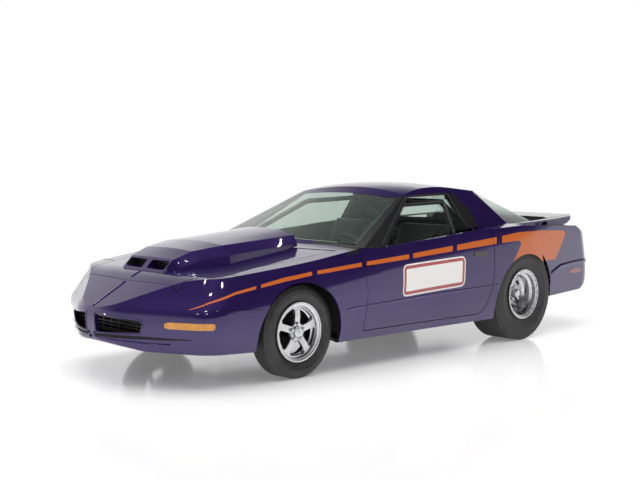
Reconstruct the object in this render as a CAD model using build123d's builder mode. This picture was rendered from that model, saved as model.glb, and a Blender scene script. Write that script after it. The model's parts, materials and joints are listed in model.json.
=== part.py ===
"""Drag racing car: a two-door fastback coupe with a hood scoop, wide rear slicks and a roll cage.

The frame has +X towards the nose, +Y to the car's left and +Z up. The origin lies on the ground
under the middle of the car's overall box. All sizes are in millimetres.
"""

from build123d import *

import os
from math import radians, tan

os.makedirs("parts", exist_ok=True)

# Driving dimensions
OVERALL_LENGTH = 4950
WHEELBASE = 2568
FRONT_OVERHANG = 1140
BODY_WIDTH = 1860
WAIST_WIDTH = 1790
ROOF_HEIGHT = 1325
SILL_HEIGHT = 218
TAIL_UNDERSIDE_HEIGHT = 328
PANEL = 22
GLASS = 6
DOOR_GAP = 6

# Places that follow from them
NOSE_X = OVERALL_LENGTH / 2
TAIL_X = -OVERALL_LENGTH / 2
FRONT_AXLE_X = NOSE_X - FRONT_OVERHANG
REAR_AXLE_X = FRONT_AXLE_X - WHEELBASE
HALF_WIDTH = BODY_WIDTH / 2
WAIST_HALF = WAIST_WIDTH / 2

# Wheels and tyres
FRONT_TYRE_RADIUS = 322
FRONT_TYRE_WIDTH = 180
FRONT_TYRE_OUTER_Y = 856
REAR_TYRE_RADIUS = 388
REAR_TYRE_WIDTH = 326
REAR_TYRE_OUTER_Y = 892
RIM_RADIUS = 208
RIM_WALL = 9
RUNNING_GAP = 0.3

# Wheel arches
FRONT_ARCH_RADIUS = 372
FRONT_ARCH_X = FRONT_AXLE_X + 23
FRONT_ARCH_Z = 299
REAR_ARCH_RADIUS = 412
REAR_ARCH_X = REAR_AXLE_X + 8
REAR_ARCH_Z = 318

# Door
DOOR_REAR_X = -778
DOOR_BOTTOM_Z = 280
DOOR_CORNER_RADIUS = 120
DOOR_INNER_INSET = 24
DOOR_HINGE_X = 682
DOOR_HINGE_Y = 862
DOOR_HINGE_HEIGHTS = (420, 700)
DOOR_NOSE_RADIUS = 66
DOOR_PIN_RADIUS = 8
HINGE_ARM = 10
HINGE_EAR = 30
HINGE_POCKET = 92

# Greenhouse openings
WINDOW = ((472, 840), (-66, 1216), (-628, 1226), (-648, 900), (-648, 840))
WINDSCREEN_HALF_BASE = 752
WINDSCREEN_HALF_TOP = 548
WINDSCREEN_BASE_Z = 868
WINDSCREEN_TOP_Z = 1208
WINDSCREEN_TOP_CENTRE_Z = 1238
COWL_RAIL = 16

# Hood
HOOD_FRONT_X = 2150
HOOD_REAR_X = 905
HOOD_REAR_BOW = 112
HOOD_FRONT_HALF = 530
HOOD_FRONT_BOW = 20
HOOD_LOW_Z = 560
HOOD_MID = (1500, 700)
HOOD_REAR_HALF = 738
HOOD_REAR_GAP = 28
HOOD_PIN_RADIUS = 5
HOOD_PIN_LENGTH = 40

# Hatch
HATCH_HINGE_X = -905
HATCH_HINGE_Z = 1185
HATCH_SEAM_RADIUS = 140
HATCH_HINGE_Y = 300
HATCH_PIN_RADIUS = 6
HATCH_REAR_X = -2138
HATCH_OUTLINE = ((-850, 500), (-1105, 462), (-1330, 716), (HATCH_REAR_X, 655))
HATCH_GLASS = ((-1078, 392), (-1150, 420), (-1352, 640), (-1800, 600), (-1884, 500))

# Body side: outlines in plan at rising heights
# height at x = 0, slope to the tail in degrees, nose x, nose corner x, nose corner y, front half
# width, waist half width, rear half width, tail corner x, tail corner y, tail x
BODY_LEVELS = (
    (190, 0.0, NOSE_X - 190, 2050, 690, 862, 850, 862, -2080, 770, TAIL_X + 280),
    (335, 0.4, NOSE_X - 20, 2100, 812, 905, 884, 908, -2290, 800, TAIL_X + 40),
    (545, 1.5, NOSE_X - 4, 2105, 832, HALF_WIDTH, WAIST_HALF, HALF_WIDTH, -2320, 794, TAIL_X),
    (735, 3.8, NOSE_X - 60, 2040, 800, 914, WAIST_HALF - 12, 916, -2260, 780, TAIL_X + 20),
    (870, 3.8, NOSE_X - 160, 1980, 752, 868, WAIST_HALF - 46, 884, -2240, 752, TAIL_X + 60),
    (1010, 3.8, NOSE_X - 300, 1960, 690, 780, WAIST_HALF - 120, 800, -2200, 700, TAIL_X + 150),
)
NOSE_FLAT_Y = 150
TAIL_FLAT_Y = 640
WAIST_X = 50
OUTLINE_RADII = (450, 260, 2500, 8000, 2500, 240, 130)

# Body top and underside: one closed side profile
# x, z, share of the panel thickness that moves the point along x and z for the inner face,
# share of the crown by which the point drops at the car's sides
BODY_PROFILE = (
    (2300, 238, 0, 1, 0),
    (2540, 322, 0, 1, 0),
    (2540, 470, 0, -1, 0.4),
    (2070, 730, 0, -1, 1),
    (770, 886, 0, -1, 1),
    (480, 884, 0, -1, 1),
    (-650, 968, 0, -1, 1),
    (-1205, 992, 0, -1, 1),
    (-2140, 948, 0, -1, 1),
    (-2350, 838, 1, -1, 0.6),
    (-2350, 622, 1, -1, 0),
    (-2540, 588, 0, -1, 0),
    (-2540, 521, 0, 1, 0),
    (-2190, 355, 0, 1, 0),
    (-1300, TAIL_UNDERSIDE_HEIGHT, 0, 1, 0),
    (-1290, SILL_HEIGHT, 0, 1, 0),
    (1300, SILL_HEIGHT, 0, 1, 0),
)
BODY_CROWN = 26
NOSE_BREAK = (2070, 730)
NOSE_BREAK_RADIUS = 380
CROWN_HALF = 950

# Greenhouse: two outlines in plan
# height, front centre x, front corner x, front corner y, rear corner x, rear corner y,
# rear inner corner x, rear inner corner y, rear x
CABIN_LEVELS = (
    (840, 922, 745, 848, -1362, 797, -2157, 592, -2230),
    (1335, -180, -239, 500, -1040, 388, -1060, 200, -1066),
)
CABIN_CORNER_RADII = (120, 90)
# Roof profile: x, z
ROOF_PROFILE = ((420, 1150), (-170, ROOF_HEIGHT - 8), (-560, ROOF_HEIGHT), (-1500, 1235))
ROOF_RADII = (1500, 2500)
ROOF_CROWN = 42
ROOF_CROWN_HALF = 560


def mirrored(solid):
    """Return the same piece for the car's right side."""
    return mirror(solid, about=Plane.XZ)


def save(solid, label):
    """Name a finished piece and write it."""
    solid.label = label
    export_step(solid, f"parts/{label}.step")


def body_half_points(level, inset):
    """Left half of one plan outline of the lower body, from nose to tail."""
    height, slope, nose, corner_x, corner_y, front, waist, rear, tail_corner_x, tail_corner_y, tail = level
    return (
        (nose - inset, 0),
        (nose - inset, NOSE_FLAT_Y),
        (corner_x - inset * 0.6, corner_y - inset * 0.9),
        (FRONT_AXLE_X, front - inset),
        (WAIST_X, waist - inset),
        (REAR_AXLE_X, rear - inset),
        (tail_corner_x + inset * 0.4, tail_corner_y - inset),
        (tail + inset, TAIL_FLAT_Y - inset * 0.6),
        (tail + inset, 0),
    )


def body_solid(inset):
    """Lower body out to its skin, or out to the inner face of its panels with an inset."""
    with BuildPart() as sides:
        for level in BODY_LEVELS:
            with BuildSketch(Plane.XY.offset(level[0]).rotated((0, level[1], 0))):
                with BuildLine():
                    FilletPolyline(*body_half_points(level, inset), radius=OUTLINE_RADII)
                    mirror(about=Plane.XZ)
                make_face()
        loft()
    with BuildPart() as whole:
        for side in (-1, 0, 1):
            with BuildSketch(Plane.XZ.offset(side * CROWN_HALF)) as section:
                with BuildLine():
                    drop = BODY_CROWN * abs(side)
                    Polyline(
                        *((x + inset * in_x, z + inset * in_z - drop * share)
                          for x, z, in_x, in_z, share in BODY_PROFILE),
                        close=True,
                    )
                make_face()
                fillet(section.vertices().sort_by_distance((*NOSE_BREAK, 0))[0], NOSE_BREAK_RADIUS)
        loft()
        add(sides.part, mode=Mode.INTERSECT)
    return whole.part


def cabin_solid(inset):
    """Greenhouse out to its skin, or to the inner face of its panels with an inset."""
    with BuildPart() as sides:
        for height, front, corner_x, corner_y, rear_x, rear_y, inner_x, inner_y, tail in CABIN_LEVELS:
            with BuildSketch(Plane.XY.offset(height)):
                with BuildLine():
                    lean = 1.25 * inset
                    slant = 2.3 * inset
                    front_left = (corner_x - slant, corner_y - lean)
                    front_right = (corner_x - slant, lean - corner_y)
                    ThreePointArc(front_right, (front - slant, 0), front_left)
                    rear_left = (
                        front_left,
                        (rear_x + lean, rear_y - lean),
                        (inner_x + slant, inner_y - lean),
                        (tail + slant, 0),
                    )
                    FilletPolyline(*rear_left, radius=CABIN_CORNER_RADII)
                    FilletPolyline(*((x, -y) for x, y in rear_left), radius=CABIN_CORNER_RADII)
                make_face()
        loft(ruled=True)
    with BuildPart() as whole:
        for side in (-1, 0, 1):
            with BuildSketch(Plane.XZ.offset(side * ROOF_CROWN_HALF * 1.8)):
                with BuildLine():
                    drop = ROOF_CROWN * (side * 1.8) ** 2 + inset
                    top = [(x, z - drop) for x, z in ROOF_PROFILE]
                    FilletPolyline(*top, radius=ROOF_RADII)
                    base = CABIN_LEVELS[0][0] - 200
                    Polyline(top[-1], (-2400, 1000 - drop), (-2400, base), (1300, base), (1300, 900 - drop), top[0])
                make_face()
        loft()
        add(sides.part, mode=Mode.INTERSECT)
    return whole.part


# Body skins
lower_outer = body_solid(0)
lower_inner = body_solid(PANEL)
cabin_outer = cabin_solid(0)
cabin_inner = cabin_solid(PANEL)
cabin_glass_inner = cabin_solid(GLASS)

# Underside openings of the body: x from, x to, half width, height
BAYS = ((1000, 2100, 500, 262), (-2190, -880, 780, 380))
KINGPIN_Y = 640
STEERED_TYRE_RADIUS = 396

with BuildPart() as lower_shell:
    add(lower_outer)
    add(lower_inner, mode=Mode.SUBTRACT)
    add(cabin_inner, mode=Mode.SUBTRACT)
    for start, end, half, height in BAYS:
        with BuildSketch(Plane.XY):
            with Locations(((start + end) / 2, 0)):
                Rectangle(end - start, 2 * half)
        extrude(amount=height, mode=Mode.SUBTRACT)
    with BuildSketch(Plane.XY):
        for side in (1, -1):
            with Locations((FRONT_AXLE_X, side * KINGPIN_Y)):
                Circle(STEERED_TYRE_RADIUS)
    extrude(amount=BAYS[0][3], mode=Mode.SUBTRACT)
    for x, z, radius in (
        (FRONT_ARCH_X, FRONT_ARCH_Z, FRONT_ARCH_RADIUS),
        (REAR_ARCH_X, REAR_ARCH_Z, REAR_ARCH_RADIUS),
    ):
        with BuildSketch(Plane.XZ):
            with Locations((x, z)):
                Circle(radius)
        extrude(amount=1000, both=True, mode=Mode.SUBTRACT)

with BuildPart() as cabin_shell:
    add(cabin_outer)
    add(cabin_inner, mode=Mode.SUBTRACT)
    add(lower_outer, mode=Mode.SUBTRACT)

with BuildPart() as glass_shell:
    add(cabin_outer)
    add(cabin_glass_inner, mode=Mode.SUBTRACT)
    add(lower_outer, mode=Mode.SUBTRACT)


def side_region(points, start_y, end_y):
    """Prism of a side-view outline between two distances from the middle of the car."""
    with BuildPart() as region:
        with BuildSketch(Plane.XZ.offset(-start_y)):
            with BuildLine():
                Polyline(*points, close=True)
            make_face()
        extrude(amount=start_y - end_y)
    return region.part


def plan_region(points, low, high):
    """Prism of a plan-view outline, given as its left half, between two heights."""
    with BuildPart() as region:
        with BuildSketch(Plane.XY.offset(low)):
            with BuildLine():
                Polyline(*points, *((x, -y) for x, y in reversed(points)), close=True)
            make_face()
        extrude(amount=high - low)
    return region.part


def block(x, y, z):
    """Box between two corners, given as pairs along each axis."""
    with BuildPart() as box:
        with BuildSketch(Plane.XY.offset(z[0])):
            with Locations(((x[0] + x[1]) / 2, (y[0] + y[1]) / 2)):
                Rectangle(x[1] - x[0], y[1] - y[0])
        extrude(amount=z[1] - z[0])
    return box.part


def bar(points, radius, bends):
    """Round tube along a path of straight runs and tangent bends."""
    with BuildPart() as tube:
        with BuildLine() as path:
            if len(points) > 2:
                FilletPolyline(*points, radius=bends)
            else:
                Line(*points)
        with BuildSketch(Plane(origin=path.line @ 0, z_dir=path.line % 0)):
            Circle(radius)
        sweep(path=path.line)
    return tube.part


def both(piece):
    """Return a left-hand piece together with its right-hand twin."""
    return Compound(children=[*piece.part.solids(), *mirrored(piece.part).solids()])


def hood_region(gap):
    """Plan-view prism of the hood, grown by a gap on every side."""
    half = (
        (HOOD_FRONT_X + gap, HOOD_FRONT_HALF + gap),
        (HOOD_MID[0], HOOD_MID[1] + gap),
        (HOOD_REAR_X - gap * HOOD_REAR_GAP / DOOR_GAP, HOOD_REAR_HALF + gap),
    )
    with BuildPart() as region:
        with BuildSketch(Plane.XY.offset(HOOD_LOW_Z)):
            with BuildLine():
                rear_x = half[2][0]
                Polyline(half[2], half[1], half[0], (half[0][0] + HOOD_FRONT_BOW, 0), (half[0][0], -half[0][1]),
                         (half[1][0], -half[1][1]), (rear_x, -half[2][1]))
                ThreePointArc((rear_x, -half[2][1]), (rear_x + HOOD_REAR_BOW, 0), half[2])
            make_face()
        extrude(amount=400)
    return region.part


def post(x, y, low, high, radius):
    """Upright cylinder."""
    with BuildPart() as cylinder:
        with BuildSketch(Plane.XY.offset(low)):
            with Locations((x, y)):
                Circle(radius)
        extrude(amount=high - low)
    return cylinder.part


def cross_pin(x, z, start_y, end_y, radius):
    """Cylinder along Y between two distances from the middle of the car."""
    with BuildPart() as pin:
        with BuildSketch(Plane.XZ.offset(-start_y)):
            with Locations((x, z)):
                Circle(radius)
        extrude(amount=start_y - end_y)
    return pin.part


def door_region(gap, inset=0, inner_y=0):
    """Side-view prism of the left door with its rounded nose about the hinge axis."""
    grow = gap - inset
    outline = (
        (DOOR_HINGE_X, DOOR_BOTTOM_Z - grow),
        (-655 - 0.7 * grow, DOOR_BOTTOM_Z - grow),
        (DOOR_REAR_X + 24 - grow, 480),
        (DOOR_REAR_X - grow, 820),
        (DOOR_REAR_X - 10 - grow, 1010),
        (DOOR_HINGE_X, 1010),
    )
    with BuildPart() as region:
        with BuildSketch(Plane.XZ.offset(-inner_y)) as face:
            with BuildLine():
                Polyline(*outline, close=True)
            make_face()
            fillet(face.vertices().sort_by_distance((outline[1][0], outline[1][1], 0))[0], DOOR_CORNER_RADIUS)
        extrude(amount=inner_y - 1000)
        add(post(DOOR_HINGE_X, DOOR_HINGE_Y, DOOR_BOTTOM_Z - grow, 1010, DOOR_NOSE_RADIUS + grow))
    return region.part


door_hole = door_region(DOOR_GAP)
hood_hole = hood_region(DOOR_GAP)
hatch_hole = plan_region(
    (*((x, y + DOOR_GAP) for x, y in HATCH_OUTLINE[:3]), (HATCH_REAR_X - 1.4 * DOOR_GAP, HATCH_OUTLINE[3][1] + DOOR_GAP)),
    800, 1400)
hatch_body = plan_region(HATCH_OUTLINE, 800, 1400)


def hatch_seam(radius):
    """Cylinder about the hatch hinge that parts the hatch from the roof."""
    with BuildPart() as cylinder:
        with BuildSketch(Plane.XZ):
            with Locations((HATCH_HINGE_X, HATCH_HINGE_Z)):
                Circle(radius)
        extrude(amount=900, both=True)
    return cylinder.part


# Front fascia: side-view outline of all that lies ahead of the fenders
FASCIA_SEAM = ((1873, 765), (2119, 595), (2044, 523), (1700, 519))
fascia_region = side_region((*FASCIA_SEAM, (1700, 100), (2700, 100), (2700, 900), (1873, 900)), -1000, 1000)
LAMP_BOX = (2061, 2266, 403, 450)
lamp_region = side_region(
    ((LAMP_BOX[0], LAMP_BOX[2]), (LAMP_BOX[1], LAMP_BOX[2]), (LAMP_BOX[1], LAMP_BOX[3]), (LAMP_BOX[0], LAMP_BOX[3])),
    500, 1000)
NOSTRIL = ((58, 352), (58, 474), (382, 446), (404, 430), (382, 368))

with BuildPart() as front_fascia:
    add(lower_shell.part)
    add(fascia_region, mode=Mode.INTERSECT)
    add(hood_hole, mode=Mode.SUBTRACT)
    add(lamp_region, mode=Mode.SUBTRACT)
    add(mirrored(lamp_region), mode=Mode.SUBTRACT)
    for side in (1, -1):
        with BuildSketch(Plane.YZ.offset(2200)) as nostril:
            with BuildLine():
                Polyline(*((side * y, z) for y, z in NOSTRIL), close=True)
            make_face()
            fillet(nostril.vertices(), 12)
        extrude(amount=400, mode=Mode.SUBTRACT)

with BuildPart() as marker_lamp_left:
    add(lower_shell.part)
    add(lamp_region, mode=Mode.INTERSECT)

with BuildPart() as hood:
    add(lower_shell.part)
    add(hood_region(0), mode=Mode.INTERSECT)

FENDER = ((2300, 100), (2300, 900), (640, 900), (640, 100))
COWL_EDGE = HOOD_REAR_HALF + DOOR_GAP
cowl_region = plan_region(((1100, 700), (HOOD_REAR_X - HOOD_REAR_GAP, COWL_EDGE), (300, COWL_EDGE)), 700, 1000)
with BuildPart() as fender_left:
    add(lower_shell.part)
    add(side_region(FENDER, 500, 1000), mode=Mode.INTERSECT)
    add(cowl_region, mode=Mode.SUBTRACT)
    add(fascia_region, mode=Mode.SUBTRACT)
    add(hood_hole, mode=Mode.SUBTRACT)
    add(door_hole, mode=Mode.SUBTRACT)

# Doors: outer skin with an inner panel behind it, a pocket and an ear at each hinge
DOOR_INNER_Y = 808
POCKET_OUTER_Y = 886
EAR_RADIUS = 16


with BuildPart() as door_inner:
    add(lower_inner)
    add(door_region(0, DOOR_INNER_INSET, DOOR_INNER_Y), mode=Mode.INTERSECT)
    add(cabin_inner, mode=Mode.SUBTRACT)

with BuildPart() as door_left:
    add(lower_shell.part)
    add(door_region(0, 0, DOOR_INNER_Y), mode=Mode.INTERSECT)
    add(door_inner.part)
    for height in DOOR_HINGE_HEIGHTS:
        low = height - HINGE_POCKET / 2
        high = height + HINGE_POCKET / 2
        add(block((DOOR_HINGE_X - 46, DOOR_HINGE_X + 80), (700, POCKET_OUTER_Y), (low, high)), mode=Mode.SUBTRACT)
        ear_low = height - HINGE_EAR / 2
        ear_high = height + HINGE_EAR / 2
        add(post(DOOR_HINGE_X, DOOR_HINGE_Y, ear_low, ear_high, EAR_RADIUS))
        add(block((DOOR_HINGE_X - 50, DOOR_HINGE_X), (DOOR_HINGE_Y - EAR_RADIUS, DOOR_HINGE_Y + EAR_RADIUS),
                  (ear_low, ear_high)))
        add(post(DOOR_HINGE_X, DOOR_HINGE_Y, ear_low, ear_high, DOOR_PIN_RADIUS + 0.05), mode=Mode.SUBTRACT)

# Hinge pillars with two arms and a pin at each hinge
PILLAR_X = (716, 790)
PILLAR_Y = (700, 768)
PILLAR_Z = (248, 830)
ARM_HALF = 12
with BuildPart() as hinge_pillar_left:
    add(block(PILLAR_X, PILLAR_Y, PILLAR_Z))
    for height in DOOR_HINGE_HEIGHTS:
        for low in (height - HINGE_EAR / 2 - 3 - HINGE_ARM, height + HINGE_EAR / 2 + 3):
            with BuildSketch(Plane.XY.offset(low)):
                with BuildLine():
                    pin = Vector(DOOR_HINGE_X, DOOR_HINGE_Y)
                    foot = Vector((PILLAR_X[0] + PILLAR_X[1]) / 2 - 12, PILLAR_Y[1] - 14)
                    along = (foot - pin).normalized()
                    across = Vector(-along.Y, along.X) * ARM_HALF
                    Polyline(pin + across, foot + across, foot - across, pin - across, close=True)
                make_face()
                with Locations((DOOR_HINGE_X, DOOR_HINGE_Y)):
                    Circle(ARM_HALF)
            extrude(amount=HINGE_ARM)
        pin_low = height - HINGE_EAR / 2 - 3 - HINGE_ARM
        add(post(DOOR_HINGE_X, DOOR_HINGE_Y, pin_low, height + HINGE_EAR / 2 + 3 + HINGE_ARM, DOOR_PIN_RADIUS))

# Quarter panels: rocker, rear wing and sail panel as one
RAIL_LINE = ((-636, 1232), (-1125, 1204))
QUARTER = ((722, 100), (722, 1400), (-2700, 1400), (-2700, 100))
REAR_SEAM = ((-1600, 100), (-1636, 560), (-1800, 606), (HATCH_REAR_X - 10, 622), (HATCH_REAR_X - 10, 1100),
             (-2700, 1100), (-2700, 100))
rear_region = side_region(REAR_SEAM, -1000, 1000)
roof_region = side_region(((1200, 840), (1200, 1500), (-1500, 1500), (-1500, RAIL_LINE[1][1]), RAIL_LINE[1],
                           RAIL_LINE[0], (-640, 840)), -1000, 1000)
window_region = side_region(WINDOW, -1000, 1000)

with BuildPart() as door_top:
    add(lower_outer.moved(Location((0, 0, DOOR_GAP))))
    add(door_region(DOOR_GAP, 0, DOOR_INNER_Y - DOOR_GAP), mode=Mode.INTERSECT)

with BuildPart() as sail_left:
    add(cabin_shell.part)
    add(side_region(QUARTER, 200, 1000), mode=Mode.INTERSECT)
    add(roof_region, mode=Mode.SUBTRACT)
    add(window_region, mode=Mode.SUBTRACT)
    add(door_top.part, mode=Mode.SUBTRACT)

# The quarter is thinned where the rear tyre's top stands behind it
AXLE_Z = REAR_TYRE_RADIUS
tyre_recess = cross_pin(REAR_AXLE_X, AXLE_Z, 500, REAR_TYRE_OUTER_Y + 5, REAR_TYRE_RADIUS + 12)

with BuildPart() as quarter_left:
    add(lower_shell.part)
    add(side_region(QUARTER, 500, 1000), mode=Mode.INTERSECT)
    add(door_hole, mode=Mode.SUBTRACT)
    add(fender_left.part, mode=Mode.SUBTRACT)
    add(cowl_region, mode=Mode.SUBTRACT)
    add(sail_left.part)
    add(hatch_hole, mode=Mode.SUBTRACT)
    add(rear_region, mode=Mode.SUBTRACT)
    add(tyre_recess, mode=Mode.SUBTRACT)

# Cowl: fixed panel between the hood and the windscreen, with the edge behind the doors
with BuildPart() as cowl:
    add(lower_shell.part)
    add(cowl_region, mode=Mode.INTERSECT)
    add(hood_hole, mode=Mode.SUBTRACT)
    add(fender_left.part, mode=Mode.SUBTRACT)
    add(mirrored(fender_left.part), mode=Mode.SUBTRACT)
    add(door_region(DOOR_GAP, 0, DOOR_INNER_Y - DOOR_GAP), mode=Mode.SUBTRACT)
    add(mirrored(door_region(DOOR_GAP, 0, DOOR_INNER_Y - DOOR_GAP)), mode=Mode.SUBTRACT)

# Roof with its windscreen pillars
with BuildPart() as windscreen_region:
    with BuildSketch(Plane.YZ.offset(-200)):
        with BuildLine():
            Polyline((-WINDSCREEN_HALF_TOP, WINDSCREEN_TOP_Z), (-WINDSCREEN_HALF_BASE, WINDSCREEN_BASE_Z),
                     (WINDSCREEN_HALF_BASE, WINDSCREEN_BASE_Z), (WINDSCREEN_HALF_TOP, WINDSCREEN_TOP_Z))
            ThreePointArc((WINDSCREEN_HALF_TOP, WINDSCREEN_TOP_Z), (0, WINDSCREEN_TOP_CENTRE_Z),
                          (-WINDSCREEN_HALF_TOP, WINDSCREEN_TOP_Z))
        make_face()
    extrude(amount=1400)

with BuildPart() as cowl_rail:
    add(lower_outer.moved(Location((0, 0, COWL_RAIL))))

with BuildPart() as roof:
    add(cabin_shell.part)
    add(roof_region, mode=Mode.INTERSECT)
    add(window_region, mode=Mode.SUBTRACT)
    add(windscreen_region.part.cut(cowl_rail.part), mode=Mode.SUBTRACT)
    add(door_top.part, mode=Mode.SUBTRACT)
    add(mirrored(door_top.part), mode=Mode.SUBTRACT)
    add(block((-2600, HATCH_HINGE_X), (-1000, 1000), (800, 1400)).cut(hatch_seam(HATCH_SEAM_RADIUS - DOOR_GAP)),
        mode=Mode.SUBTRACT)

with BuildPart() as windscreen:
    add(glass_shell.part)
    add(windscreen_region.part, mode=Mode.INTERSECT)
    add(cowl_rail.part, mode=Mode.SUBTRACT)

# Door glass stands a gap inside the window opening
with BuildPart() as door_glass_left:
    with BuildSketch(Plane.XZ.offset(-300)):
        with BuildLine():
            Polyline(*WINDOW, close=True)
        make_face()
        offset(amount=-DOOR_GAP)
    extrude(amount=-700)
    add(block((-800, 600), (0, 1000), (800, 900)))
    add(glass_shell.part, mode=Mode.INTERSECT)
    add(side_region(WINDOW, 0, 1000), mode=Mode.INTERSECT)

# Hatch, its glass and its two gooseneck hinges
with BuildPart() as hatch_zone:
    add(hatch_body)
    add(hatch_seam(HATCH_SEAM_RADIUS), mode=Mode.SUBTRACT)
    add(block((HATCH_HINGE_X, 0), (-900, 900), (800, 1400)), mode=Mode.SUBTRACT)

glass_opening = plan_region(HATCH_GLASS, 900, 1400)

with BuildPart() as hatch:
    add(lower_shell.part)
    add(block((-2600, -1000), (-900, 900), (800, 1100)), mode=Mode.INTERSECT)
    add(cabin_shell.part)
    add(hatch_zone.part, mode=Mode.INTERSECT)
    add(glass_opening, mode=Mode.SUBTRACT)

with BuildPart() as hatch_glass:
    add(glass_shell.part)
    add(glass_opening, mode=Mode.INTERSECT)

# Rear fascia with the bumper, and the tail lamps let into it
TAIL_LAMP = ((190, 660), (190, 806), (664, 796), (672, 660))
with BuildPart() as tail_lamp_zone:
    with BuildSketch(Plane.YZ.offset(TAIL_X)):
        with BuildLine():
            Polyline(*TAIL_LAMP, close=True)
        make_face()
    extrude(amount=400)

with BuildPart() as rear_fascia:
    add(lower_shell.part)
    add(rear_region, mode=Mode.INTERSECT)
    add(hatch_hole, mode=Mode.SUBTRACT)
    add(tail_lamp_zone.part, mode=Mode.SUBTRACT)
    add(mirrored(tail_lamp_zone.part), mode=Mode.SUBTRACT)

with BuildPart() as tail_lamp_left:
    add(lower_shell.part)
    add(rear_region, mode=Mode.INTERSECT)
    add(tail_lamp_zone.part, mode=Mode.INTERSECT)
    add(hatch_hole, mode=Mode.SUBTRACT)


# Hood hinge pins stand out of the fenders into bores in the hood's rear corners
HOOD_PIN_X = HOOD_REAR_X + 12
HOOD_PIN_Z = 838


HOOD_PIN_ROOT_Y = HOOD_REAR_HALF + DOOR_GAP + 10
with BuildPart() as fender_with_pin:
    add(fender_left.part)
    add(cross_pin(HOOD_PIN_X, HOOD_PIN_Z, HOOD_REAR_HALF - HOOD_PIN_LENGTH, HOOD_PIN_ROOT_Y, HOOD_PIN_RADIUS))

with BuildPart() as hood_with_bores:
    add(hood.part)
    for side in (1, -1):
        add(cross_pin(HOOD_PIN_X, HOOD_PIN_Z, side * (HOOD_REAR_HALF - HOOD_PIN_LENGTH - 1),
                      side * (HOOD_REAR_HALF + 1), HOOD_PIN_RADIUS + 0.05), mode=Mode.SUBTRACT)

# Hood scoop: sections from the mouth to its tail, x, base half width, top half width, top height, crown
SCOOP_SECTIONS = (
    (2040, 270, 236, 742, 2),
    (1962, 290, 240, 816, 4),
    (1820, 370, 262, 868, 10),
    (1600, 440, 322, 902, 20),
    (936, 416, 350, 950, 40),
)
SCOOP_WALL = 14
SCOOP_MOUTH = ((26, 226), (748, 804))
SCOOP_CAVITY_X = (950, 1690)


def scoop_solid(inset):
    """Scoop body, or its cavity with an inset."""
    with BuildPart() as whole:
        for x, base, top, height, crown in SCOOP_SECTIONS:
            with BuildSketch(Plane.YZ.offset(x)):
                with BuildLine():
                    b = base - inset
                    t = top - inset
                    shoulder = height - 34
                    z = -inset
                    Polyline((t, height + z), (b - 30, shoulder - 30), (b, 640), (-b, 640), (30 - b, shoulder - 30),
                             (-t, height + z))
                    ThreePointArc((-t, height + z), (0, height + crown + z), (t, height + z))
                make_face()
        loft(ruled=True)
    return whole.part


with BuildPart() as scoop_cavity:
    add(scoop_solid(SCOOP_WALL))
    add(block(SCOOP_CAVITY_X, (-500, 500), (600, 1100)), mode=Mode.INTERSECT)

# The scoop's tail overhangs the cowl by a gap
with BuildPart() as scoop_relief:
    add(lower_outer.moved(Location((0, 0, DOOR_GAP))))
    add(hood_region(0), mode=Mode.SUBTRACT)

with BuildPart() as hood_scoop:
    add(scoop_solid(0))
    add(scoop_cavity.part, mode=Mode.SUBTRACT)
    add(lower_outer, mode=Mode.SUBTRACT)
    add(scoop_relief.part, mode=Mode.SUBTRACT)
    with BuildSketch(Plane.YZ.offset(SCOOP_CAVITY_X[1] - 1)):
        for side in (1, -1):
            with Locations((side * sum(SCOOP_MOUTH[0]) / 2, sum(SCOOP_MOUTH[1]) / 2)):
                RectangleRounded(SCOOP_MOUTH[0][1] - SCOOP_MOUTH[0][0], SCOOP_MOUTH[1][1] - SCOOP_MOUTH[1][0], 14)
    extrude(amount=SCOOP_SECTIONS[0][0] - SCOOP_CAVITY_X[1] + 20, mode=Mode.SUBTRACT)

# Screens across the scoop's mouths
SCREEN_X = 1925
with BuildPart() as scoop_screen:
    with BuildSketch(Plane.YZ.offset(SCREEN_X)):
        for side in (1, -1):
            with Locations((side * sum(SCOOP_MOUTH[0]) / 2, sum(SCOOP_MOUTH[1]) / 2)):
                RectangleRounded(SCOOP_MOUTH[0][1] - SCOOP_MOUTH[0][0], SCOOP_MOUTH[1][1] - SCOOP_MOUTH[1][0], 14)
                with GridLocations(36, 17, 5, 3):
                    RectangleRounded(30, 8, 2, mode=Mode.SUBTRACT)
    extrude(amount=3)
    add(lower_outer, mode=Mode.SUBTRACT)

# Nostril grille behind the fascia
GRILLE_X = 2290
with BuildPart() as nostril_grille:
    add(lower_inner)
    add(block((GRILLE_X, GRILLE_X + 12), (-470, 470), (330, 500)), mode=Mode.INTERSECT)
    with BuildSketch(Plane.YZ.offset(GRILLE_X)):
        with GridLocations(96, 24, 8, 5):
            with Locations((0, 412)):
                RectangleRounded(88, 16, 3)
    extrude(amount=12, mode=Mode.SUBTRACT)

# Door handle: a recessed pull
HANDLE = (-607, 764, 172, 34)
with BuildPart() as door_handle_left:
    with BuildSketch(Plane.XZ.offset(-860)):
        with Locations((HANDLE[0], HANDLE[1])):
            RectangleRounded(HANDLE[2], HANDLE[3], 8)
    extrude(amount=-60)
    add(lower_outer.moved(Location((0, 4, 0))), mode=Mode.INTERSECT)
    add(lower_outer, mode=Mode.SUBTRACT)

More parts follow.
